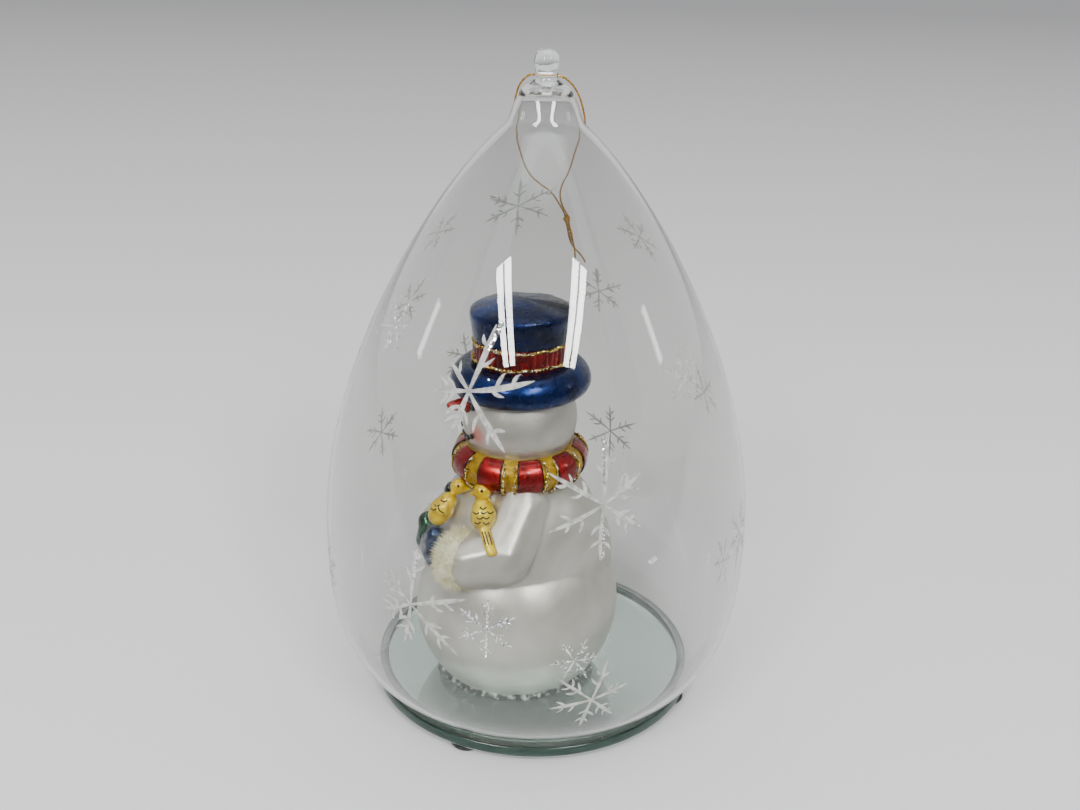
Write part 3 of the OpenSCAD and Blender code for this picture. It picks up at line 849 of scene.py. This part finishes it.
def ripple(seed, count, turns, sizes):
    # random waves round a ring, added together
    pen = random.Random(seed)
    waves = [(pen.randint(*turns), pen.uniform(0, 6.28), pen.uniform(*sizes)) for _ in range(count)]
    return lambda angle, lean: sum(size * math.sin(k * angle + phase + lean) for k, phase, size in waves)


def reshape(obj, change):
    # pushes vertices away from the figure's middle line and lifts them; change gives the share and the rise
    for vertex in obj.data.vertices:
        x, y, z = vertex.co.x / mm - cx, vertex.co.y / mm - cy, vertex.co.z / mm
        push, rise = change(math.hypot(x, y), math.atan2(y, x), z)
        if push != 1:
            vertex.co.x, vertex.co.y = (cx + x * push) * mm, (cy + y * push) * mm
        vertex.co.z += rise * mm
    return narrow(obj)


arms = {
    # shoulder, elbow, wrist, hand, finger end
    "left": [(13.5, -3.2, 66.0), (21, -11.5, 55.5), (18, -20, 53.5), (8.5, -25.4, 52.5), (3, -25.4, 52)],
    "right": [(-12.5, -4, 67.5), (-19.5, -7, 54.5), (-15, -16, 51.5), (-6, -23, 51.5), (-1.6, -25.4, 52)],
    "radii": (9, 9.6, 8.2),
}


def pearlBody():
    parts = [ball(at(0, 0, 27.5), 31, fine=5), ball(at(0, -0.6, 51.5), 25.1, fine=5),
             ball(at(-1.5, 4.2, 43), 25.4, fine=5), ball(at(0, 0, 88.7), 16.6, fine=5),
             ball(at(0, 0, 75), (14, 14, 8), fine=4)]
    for name in ("left", "right"):
        parts += chain([at(*p) for p in arms[name][:3]], arms["radii"], 1.6)
    body = fuse("snowmanBody", parts, figure["voxel"], figure["softness"])
    edit(body)
    bpy.ops.mesh.select_all(action="SELECT")
    bpy.ops.mesh.bisect(plane_co=(0, 0, figure["seat"] * mm), plane_no=(0, 0, 1),
                        clear_inner=True, use_fill=True)
    bpy.ops.object.mode_set(mode="OBJECT")
    return narrow(body)


def lacquered(mat, coords, base, under, rim, peel, bump, look):
    # over the base colour: a painted shade that darkens the rim as the surface turns away from the view, orange
    # peel on the relief beneath, a clear coat
    rimShadeWeight = add(mat, "LayerWeight", {"Blend": rim[0]}).outputs["Facing"]
    share = add(mat, "Math", {0: rimShadeWeight, 1: rim[1]}, operation="MULTIPLY").outputs[0]
    rimShadedColour = add(mat, "Mix", {0: share, 6: base, 7: linear(rim[2])}, data_type="RGBA").outputs[2]
    fine = add(mat, "TexNoise", {"Vector": coords, "Scale": peel[0], "Detail": 2.0}).outputs["Fac"]
    high = add(mat, "Math", {0: fine, 1: peel[1], 2: under}, operation="MULTIPLY_ADD").outputs[0]
    relief = add(mat, "Bump", {"Height": high, "Strength": bump[0], "Distance": bump[1] * mm}).outputs[0]
    rough = add(mat, "ValToRGB", {"Fac": fine}, [(0.3, peel[2]), (0.7, peel[3])]).outputs["Color"]
    shader = add(mat, "BsdfPrincipled", {"Base Color": rimShadedColour, "Roughness": rough, "Normal": relief, **look})
    return finishMaterial(mat, shader.outputs[0])


def pearlLacquer():
    # pearl lacquer on silvered glass: a satin white that turns from cool to pinkish cream,
    # with a broad soft shine from the mirror beneath
    mat = newMaterial("pearlLacquer")
    coords = add(mat, "TexCoord").outputs["Object"]
    cloud = add(mat, "TexNoise", {"Vector": coords, "Scale": 55.0, "Detail": 3.0,
                                  "Distortion": 0.6}).outputs["Fac"]
    base = add(mat, "ValToRGB", {"Fac": cloud},
               [(0.3, "#bdb8b1"), (0.5, "#cdc9c3"), (0.7, "#dad7d3")]).outputs["Color"]
    cheeks = None
    for sideWay in (1, -1):
        cheek = at(sideWay * 6.3, -15.2, 87.5)
        spot = add(mat, "Mapping", {"Vector": coords, "Location": [-c * mm for c in cheek]}).outputs[0]
        far = add(mat, "VectorMath", {0: spot}, operation="LENGTH").outputs["Value"]
        blush = add(mat, "MapRange", {"Value": far, "From Min": 4.6 * mm, "From Max": 0.8 * mm},
                    interpolation_type="SMOOTHSTEP").outputs["Result"]
        cheeks = add(mat, "Math", {0: cheeks, 1: blush}, operation="ADD").outputs[0] if cheeks else blush
    rosy = add(mat, "Mix", {0: add(mat, "Math", {0: cheeks, 1: 0.75}, operation="MULTIPLY").outputs[0],
                            6: base, 7: linear("#d9604c")}, data_type="RGBA").outputs[2]
    swell = add(mat, "TexNoise", {"Vector": coords, "Scale": 90.0, "Detail": 1.0}).outputs["Fac"]
    # the rim colour #726c64 is painted shade, laid on where the surface turns away from the view
    return lacquered(mat, coords, rosy, swell, (0.35, 0.45, "#726c64"), (380.0, 0.25, 0.30, 0.40), (0.35, 0.5),
                     {"Metallic": 0.55, "Coat Weight": 0.2, "Coat Roughness": 0.3})


present(pearlBody(), pearlLacquer(), 60, "base", "pearl_white",
        "body_lower", "torso", "head", "arm_left", "arm_right")
print("snowman's body blown")


# glue that holds the figure, a clear fillet; the silver under it shows partly through its clearness and partly
# as a painted reflection in its colour

def glueRing():
    bead = turned("glueFillet", [(0, 5.12), (24.0, 5.12), (24.1, 5.35), (23.6, 5.75), (22.9, 6.1), (22.3, 6.6),
                                 (21.8, 6.2), (21.0, 5.48), (0, 5.48)], 96, (cx, cy))
    wave = ripple(3, 7, (3, 23), (0.05, 0.22))
    return reshape(bead, lambda out, angle, z: (1 + wave(angle, 0) / 24 if out > 21.5 else 1, 0))


def clearGlue():
    # cured adhesive: clear, with trapped air and dust drawn as painted glints, and a painted reflection of the
    # silver beneath
    mat = newMaterial("clearAdhesive")
    coords = add(mat, "TexCoord").outputs["Object"]
    bubble = add(mat, "TexVoronoi", {"Vector": coords, "Scale": 900.0}).outputs["Distance"]
    paintedGlintFleck = add(mat, "ValToRGB", {"Fac": bubble}, [(0.05, 1.0), (0.16, 0.0)]).outputs["Color"]
    lump = add(mat, "TexNoise", {"Vector": coords, "Scale": 500.0, "Detail": 3.0}).outputs["Fac"]
    bump = add(mat, "Bump", {"Height": lump, "Strength": 0.5, "Distance": 0.4 * mm}).outputs[0]
    # painted reflection: a dark-to-pale mottle stands for the silver seen through the glue
    paintedSilverReflection = add(mat, "ValToRGB", {"Fac": lump}, [(0.5, "#2c3d36"), (0.66, "#cfd8d4")]).outputs["Color"]
    colour = add(mat, "Mix", {0: paintedGlintFleck, 6: paintedSilverReflection, 7: linear("#f2f4f0")}, data_type="RGBA").outputs[2]
    shader = add(mat, "BsdfPrincipled", {"Base Color": colour, "Roughness": 0.12, "IOR": 1.48, "Normal": bump,
                                         "Metallic": 0.4, "Transmission Weight": 0.2})
    return finishMaterial(mat, shader.outputs[0])


present(glueRing(), clearGlue(), 60, "base", "clear_glue", "glue_bead")


# lacquers and enamels of the painted zones

def lacquer(name, dark, mid, light, size, stretch=(1, 1, 1), metal=0.55, coat=0.8):
    # transparent colour over silvered glass: a deep metal that pools darker in the hollows
    mat = newMaterial(name)
    coords = add(mat, "TexCoord").outputs["Object"]
    drawn = add(mat, "Mapping", {"Vector": coords, "Scale": stretch}).outputs[0]
    pool = add(mat, "TexNoise", {"Vector": drawn, "Scale": size, "Detail": 4.0,
                                 "Distortion": 0.8}).outputs["Fac"]
    body = add(mat, "ValToRGB", {"Fac": pool}, [(0.3, dark), (0.5, mid), (0.72, light)]).outputs["Color"]
    # the dark colour doubles as painted shade at the rim, where the surface turns away from the view
    return lacquered(mat, coords, body, pool, (0.3, 0.55, dark), (450.0, 0.3, 0.22, 0.36), (0.3, 0.4),
                     {"Metallic": metal, "Coat Weight": coat, "Coat Roughness": 0.08})


blueLacquer = lacquer("blueLacquer", "#010818", "#031c50", "#0a3f8c", size=38.0, metal=0.8, coat=0.35)
redLacquer = lacquer("redLacquer", "#4c0002", "#900205", "#b40a0c", size=160.0, coat=0.4)
redOutline = lacquer("redOutlineLacquer", "#120001", "#2c0002", "#480204", size=240.0, coat=0.5)
redBandLacquer = lacquer("redBandLacquer", "#2c0002", "#6c0305", "#a00e0e", size=260.0, stretch=(1, 1, 0.4),
                         coat=0.4)
yellowLacquer = lacquer("yellowLacquer", "#6a4800", "#b08800", "#ccac08", size=200.0, metal=0.3, coat=0.4)
birdLacquer = lacquer("birdLacquer", "#a88000", "#e0bc00", "#f4da10", size=300.0, metal=0.1, coat=0.3)
mittenBlue = lacquer("mittenBlueLacquer", "#060f24", "#0f2348", "#213f6c", size=300.0)
mittenGreen = lacquer("mittenGreenLacquer", "#04180d", "#0c3c24", "#1d5c3b", size=300.0)
carrot = lacquer("carrotLacquer", "#5c0800", "#a01402", "#bc2a0c", size=300.0, metal=0.15)
goldGlitter = glitterPaint("goldGlitter", [(0.15, "#7a5410"), (0.45, "#c89a2a"), (0.8, "#f8e080"),
                                           (0.97, "#ffffff")], 0.92)


# drops of gloss enamel, levelled by their own surface tension
enamel = plainFinish("blackEnamel", 600.0, 2.0, [(0.3, "#0b0b0c"), (0.7, "#1a1a1c")],
                     {"Roughness": 0.15, "Coat Weight": 0.6, "Coat Roughness": 0.05}, bump=(0.2, 0.2))
for node in ("eyes", "mouth", "button"):
    dress(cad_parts[node], enamel)


# carrot nose with shallow rings

def carrotNose():
    root = Vector((cx, cy - 14.5, 94.3)) * mm
    line = [(0, -1), (2.9, -1), (2.8, 0.4), (2.45, 1.0), (2.55, 1.5), (2.2, 2.5), (1.95, 3.0), (2.0, 3.5),
            (1.7, 4.6), (1.5, 5.0), (1.5, 5.5), (1.2, 6.5), (0.8, 7.2), (0, 7.5)]
    nose = turned("carrotNose", line, 32)
    nose.matrix_world = Matrix.Translation(root) @ Matrix.Rotation(math.radians(87), 4, "X")
    settle(nose)
    applyModifier(nose, "SUBSURF", levels=1, render_levels=1)
    return nose


present(carrotNose(), carrot, 60, "base", "carrot_orange", "nose")


# hat: rolled brim, pleated band, flared crown with a pillowed top

hat = {"brimZ": 102.1, "bandZ": 106.5, "bandTop": 112.9, "bandRadius": 13.6, "topZ": 122.1, "pleats": 46}


def rolledBrim():
    z = hat["brimZ"]
    line = [(11.0, z + 4.4), (13.2, z + 4.5), (14.2, z + 3.9), (15.6, z + 4.3), (17.4, z + 3.9),
            (19.1, z + 2.4), (20.1, z + 0.4), (20.4, z - 1.4), (19.9, z - 3.2), (18.5, z - 4.6),
            (16.6, z - 5.1), (14.8, z - 4.7), (13.0, z - 3.0), (11.0, z - 1.6)]
    brim = turned("hatBrim", line + [line[0]], 96, (cx, cy))
    applyModifier(brim, "SUBSURF", levels=1, render_levels=1)
    return narrow(brim)


def pleatedBand():
    low, high, r = hat["bandZ"] - 0.3, hat["bandTop"] + 0.2, hat["bandRadius"]
    count = 12
    line = [(r - 2, low)] + [(r - 0.15 + 0.35 * math.sin(math.pi * k / count), low + (high - low) * k / count)
                             for k in range(count + 1)] + [(r - 2, high)]
    band = turned("pleatedBand", line + [line[0]], 368, (cx, cy))
    fold = random.Random(11)
    offsets = [fold.uniform(-0.5, 0.5) for _ in range(hat["pleats"])]
    deep = [fold.uniform(0.18, 0.5) for _ in range(hat["pleats"])]

    def pleat(out, angle, z):
        if out <= r - 1:
            return 1, 0
        turn = (angle / (2 * math.pi) + 0.5) * hat["pleats"]
        k = int(turn) % hat["pleats"]
        t = turn - int(turn) + offsets[k] * 0.25 * (z - low) / (high - low)
        gather = math.sin(math.pi * max(0.0, min(1.0, t))) ** 0.6
        return 1 + (gather * deep[k] - 0.25) / r, 0

    return reshape(band, pleat)


def flaredCrown():
    low, high, r = hat["bandTop"] - 0.2, hat["topZ"], hat["bandRadius"]
    line = [(0, low), (r - 0.6, low), (r - 0.1, low + 0.3), (r + 0.05, low + 1.4), (r + 0.5, low + 3.6),
            (r + 1.0, low + 6.2), (r + 1.35, high - 2.0), (r + 1.2, high - 0.9), (r + 0.5, high - 0.1),
            (r - 0.9, high + 0.45), (9.5, high + 1.2), (5.5, high + 1.9), (2.0, high + 2.25), (0, high + 2.3)]
    crown = turned("hatCrown", line, 96, (cx, cy))
    applyModifier(crown, "SUBSURF", levels=1, render_levels=1)
    wave = ripple(5, 5, (2, 7), (0.04, 0.16))

    def dent(out, angle, z):
        lump = wave(angle, z * 0.25)
        return (1 + lump / 15 if out > 10 else 1,
                (lump - 0.25) * 0.6 * min(1, out / 12) if z > high - 0.5 else 0)

    return reshape(crown, dent)


def beadLine(name, points, radius, seed):
    # a line of glitter glue, lumpy along its length
    lump = random.Random(seed)
    line = smoothRoute(points, 0.35 * mm)
    rope = sweep(name, line, radius * mm, 8)
    for i in range(len(line)):
        swell = 1 + lump.uniform(-0.5, 0.6)
        shift = Vector([lump.uniform(-0.12, 0.12) * mm for _ in range(3)])
        for k in range(8):
            vertex = rope.data.vertices[i * 8 + k]
            vertex.co = line[i] + (vertex.co - line[i]) * swell + shift
    return rope


def ringLine(name, radius, z, thick, seed):
    points = []
    wander = random.Random(seed)
    phases = [wander.uniform(0, 6.28) for _ in range(3)]
    for k in range(121):
        angle = 2 * math.pi * k / 120
        wave = 0.18 * math.sin(5 * angle + phases[0]) + 0.12 * math.sin(11 * angle + phases[1])
        points.append(Vector((cx + radius * math.cos(angle), cy + radius * math.sin(angle), z + wave)) * mm)
    return beadLine(name, points, thick, seed)


present(rolledBrim(), blueLacquer, 60, "base", "lacquer_blue", "hat_brim")
present(flaredCrown(), blueLacquer, 60, "base", "lacquer_blue", "hat_crown")
present(pleatedBand(), redBandLacquer, 50, "base", "lacquer_red", "hat_band")
bandLines = join("bandGlitter", [ringLine("low", hat["bandRadius"] + 0.25, hat["bandZ"] + 1.1, 0.42, 21),
                                 ringLine("high", hat["bandRadius"] + 0.05, hat["bandTop"] - 0.3, 0.38, 22)])
present(narrow(bandLines), goldGlitter, None, "base", "gold_glitter", "band_trim")
print("hat made")


# scarf: a yellow roll with ten raised red panels, outlined here and there with glitter

scarf = {"z": 76.2, "half": 5.7, "ring": 14.7, "tube": 5.5, "panels": 10, "firstPanel": -8, "perPanel": 5,
         "perGap": 3, "rows": 16, "rise": 0.3, "inset": 0.5, "panelFrom": -0.72, "panelTo": 0.93,
         "glitter": [(-1, 1), (-1, 1), (1,), (-1, 1), (-1,), (1,), (-1, 1), (-1,), (-1, 1), (1,)]}


def scarfPoint(angle, lean):
    out = scarf["ring"] + scarf["tube"] * math.cos(lean)
    return Vector((cx + out * math.cos(angle), cy + out * math.sin(angle),
                   scarf["z"] + scarf["half"] * math.sin(lean))) * mm


def scarfRoll():
    segments = scarf["panels"] * (scarf["perPanel"] + scarf["perGap"])
    unit = 2 * math.pi / segments
    start = math.radians(scarf["firstPanel"]) - unit * scarf["perPanel"] / 2
    rows = scarf["rows"]
    line = []
    for k in range(rows + 1):
        lean = -math.pi / 2 + math.pi * k / rows
        line.append((scarf["ring"] + (scarf["tube"] - scarf["inset"]) * math.cos(lean),
                     scarf["z"] + (scarf["half"] - scarf["inset"]) * math.sin(lean)))
    line = [(9, line[0][1] + 1.2)] + line + [(9, line[-1][1] - 1.2)]
    roll = turned("scarfRoll", line + [line[0]], segments, (cx, cy), start)
    edit(roll)

    def isPanel(centre):
        x, y, z = centre.x / mm - cx, centre.y / mm - cy, centre.z / mm
        k = int(((math.atan2(y, x) - start) % (2 * math.pi)) / unit) % (scarf["perPanel"] + scarf["perGap"])
        climb = (z - scarf["z"]) / scarf["half"]
        outside = math.hypot(x, y) > scarf["ring"] + 1.4
        return k < scarf["perPanel"] and outside and scarf["panelFrom"] < climb < scarf["panelTo"]

    choose(roll, isPanel)
    bpy.ops.mesh.duplicate()
    bpy.ops.mesh.separate(type="SELECTED")
    bpy.ops.object.mode_set(mode="OBJECT")
    panels = next(o for o in bpy.context.selected_objects if o is not roll)
    panels.name = panels.data.name = "scarfPanels"
    return roll, panels


def pillows(panels):
    # each panel swells from a creased edge
    edit(panels)
    bpy.ops.mesh.select_all(action="SELECT")
    bpy.ops.mesh.extrude_region_shrink_fatten(TRANSFORM_OT_shrink_fatten={"value": scarf["rise"] * mm})
    bpy.ops.mesh.inset(thickness=0.4 * mm, depth=0.12 * mm)
    bpy.ops.mesh.select_all(action="INVERT")
    panels.active_material_index = 1
    bpy.ops.object.material_slot_assign()
    bpy.ops.object.mode_set(mode="OBJECT")
    applyModifier(panels, "SUBSURF", levels=2, render_levels=2)


roll, panels = scarfRoll()
applyModifier(roll, "SUBSURF", levels=1, render_levels=1)
dress(panels, redLacquer, redOutline)
pillows(panels)
present(narrow(roll), yellowLacquer, 60, "base", "scarf_yellow", "scarf_yellow")
smooth(narrow(panels), 60)
hand(panels, "base", "lacquer_red", "scarf_red")


def panelLines():
    # glitter runs down the edges of most panels
    step = 2 * math.pi / scarf["panels"]
    half = step * scarf["perPanel"] / (scarf["perPanel"] + scarf["perGap"]) / 2
    parts = []
    for k in range(scarf["panels"]):
        for sideWay in scarf["glitter"][k]:
            angle = math.radians(scarf["firstPanel"]) + k * step + sideWay * (half + 0.035)
            points = [scarfPoint(angle + 0.012 * math.sin(3 * lean), lean)
                      for lean in (-1.1, -0.8, -0.5, -0.2, 0.1, 0.4, 0.7, 1.0)]
            parts.append(beadLine("line", points, 0.32 if sideWay < 0 else 0.36, 40 + 2 * k + sideWay))
    return narrow(join("scarfGlitter", parts))


present(panelLines(), goldGlitter, None, "base", "gold_glitter", "scarf_trim")
print("scarf made")


# mittens, flocked cuffs and the two birds

cuffs = {"fibres": 6000, "length": 3.0, "width": 0.2, "left": (8.7, 5.6, 0.22), "right": (6.6, 4.6, 0.5)}


def mitten(name, side, mat, slotName, node):
    handEnd, tip = (at(*p) for p in arms[side][3:5])
    way = 1 if side == "left" else -1
    parts = chain([handEnd, tip], (6.2, 6.0), 1.2)
    parts.append(ball((tip[0] + 2.6 * way, tip[1] - 1.8, tip[2] + 4.2), (3.0, 2.8, 3.6), fine=3))
    present(narrow(fuse(name, parts, 0.5, 5)), mat, 60, "base", slotName, node)


mitten("mittenLeft", "left", mittenBlue, "mitten_blue", "mitten_left")
mitten("mittenRight", "right", mittenGreen, "mitten_green", "mitten_right")


def flockedCuff(name, side, seed):
    wrist, handEnd = (Vector(at(*p)) for p in arms[side][2:4])
    wide, deep, share = cuffs[side]
    middle = wrist.lerp(handEnd, share) + Vector((0.2 if side == "left" else -0.2, -0.8, 0.4))
    along = (handEnd - wrist).normalized()
    turn = along.to_track_quat("Z", "Y").to_euler()
    pad = fuse(name, [ball(middle, (wide, wide, deep), turn, 4),
                      ball(middle + along * 0.8, (wide - 1, wide - 1, deep), turn, 4)], 0.6, 4)
    tree = treeOf(pad)
    grow = random.Random(seed)
    points, faces = [], []
    spread = along.to_track_quat("Z", "Y")
    for _ in range(cuffs["fibres"]):
        z = grow.uniform(-1, 1)
        angle = grow.uniform(0, 2 * math.pi)
        ring = math.sqrt(1 - z * z)
        aim = spread @ Vector((ring * math.cos(angle), ring * math.sin(angle), z))
        hit, normal, _, _ = tree.ray_cast(middle * mm + aim * 20 * mm, -aim)
        if hit is None:
            continue
        lean = Vector([grow.uniform(-0.55, 0.55) for _ in range(3)])
        way = (normal + lean + along * 0.55).normalized()
        sideWay = way.orthogonal().normalized() * cuffs["width"] * mm / 2
        otherWay = way.cross(sideWay)
        tipPoint = hit + way * cuffs["length"] * (0.25 + 0.75 * grow.random() ** 2.5) * mm
        base = len(points)
        root = hit - normal * 0.2 * mm
        points += [root + sideWay, root - sideWay * 0.5 + otherWay * 0.87,
                   root - sideWay * 0.5 - otherWay * 0.87, tipPoint]
        faces += [(base, base + 1, base + 3), (base + 1, base + 2, base + 3), (base + 2, base, base + 3),
                  (base, base + 2, base + 1)]
    return narrow(join(name, [pad, shape("fur", points, faces)]))


# viscose flock blown on to glue: matt, with a soft halo where it is seen edge on
flock = plainFinish("creamFlock", 330.0, 3.0, [(0.3, "#c8c196"), (0.5, "#e4dfbe"), (0.7, "#f3f0de")],
                    {"Roughness": 0.95, "Sheen Weight": 0.5, "Sheen Roughness": 0.5}, bump=(0.8, 0.5))
for side, node, seed in (("left", "cuff_left", 17), ("right", "cuff_right", 18)):
    present(flockedCuff("cuff" + side.title(), side, seed), flock, None, "base", "cream_flock", node)


inkFrom = Vector((0.845, -0.261, 0.469))  # the feathers are drawn from this side


def bird(name, parts, marks, beakFrom, beakTo, node):
    # modelled as one lump of glass with a beak, then its feathers are drawn on with a fine brush
    pieces = [ball(*part) for part in parts]
    lump = fuse(name, pieces + chain([beakFrom, beakTo], (1.5, 0.45), 0.4), 0.35, 4)
    tree = treeOf(lump)
    ink = []
    for mark in marks:
        points = []
        for p in mark[1]:
            hit = tree.ray_cast(Vector(p) * mm + inkFrom * 30 * mm, -inkFrom)[0]
            if hit is not None:
                points.append(hit)
        if len(points) > 1:
            line = smoothRoute(points, 0.12 * mm)
            ink.append(sweep("ink", line, mark[0] * mm, 6))
        elif points:
            ink.append(ball([c / mm for c in points[0]], mark[0], fine=2))
    present(narrow(lump), birdLacquer, 60, "base", "bird_yellow", node)
    present(narrow(join(name + "Marks", ink)), enamel, None, "base", "black_enamel")


def offset(point, across, rise):
    # a point moved across and up as the camera sees it, in millimetres
    return tuple(Vector(point) + right * across + top * rise)


def scallop(point, wide, deep):
    return [offset(point, wide * t, -deep * (1 - t * t)) for t in (-1, -0.6, -0.2, 0.2, 0.6, 1)]


nearBody, nearHead = (23.0, -23.4, 67.6), (15.8, -21.8, 71.9)
nearTail, nearTailEnd = (25.8, -24.0, 65.2), (31.6, -23.4, 60.6)
bird("birdNear",
     [(nearBody, (3.8, 3.7, 4.3)), (nearHead, 2.6), (offset(nearHead, 0.3, -2.6), 2.2),
      (offset(nearBody, -0.4, 2.4), 2.9)]
     + [(tuple(Vector(nearTail).lerp(Vector(nearTailEnd), t)), (1.7, 1.7, 1.2))
        for t in (0, 0.2, 0.4, 0.6, 0.8, 1)],
     [(0.5, [nearHead])]
     + [(0.21, scallop(offset(nearBody, x, y), 0.85, 0.55)) for x, y in
        ((-1.9, 1.2), (-0.1, 2.6), (0.1, 1.3), (1.9, 1.4), (-0.9, -0.2), (0.9, -0.1), (-1.5, -1.5),
         (0.9, -1.6))]
     + [(0.19, [offset(nearTail, x, -0.8), offset(nearTail, x + 0.6, -2.4), offset(nearTail, x + 1.2, -4.4)])
        for x in (-0.5, 0.3, 1.2)],
     offset(nearHead, -1.0, -0.3), offset(nearHead, -3.2, -0.6), "bird_left")
farBody, farHead = (10.4, -32.2, 65.3), (8.6, -26.8, 71.0)
bird("birdFar",
     [(farBody, (3.4, 3.6, 3.7)), (offset(farBody, -1.0, -1.6), (3.0, 3.0, 3.2)),
      (offset(farBody, 1.6, 2.4), 2.7), (farHead, 2.4)],
     [(0.4, [farHead])]
     + [(0.21, scallop(offset(farBody, x, y), 0.8, 0.5)) for x, y in ((-1.2, 1.3), (0.6, 2.6), (-2.2, 0.2))]
     + [(0.2, [offset(farBody, -0.9, 0.9), offset(farBody, -0.5, -0.4), offset(farBody, 0.8, -1.2)])],
     offset(farHead, 1.0, -0.3), offset(farHead, 3.4, -0.8), "bird_right")
print("mittens, cuffs and birds made")
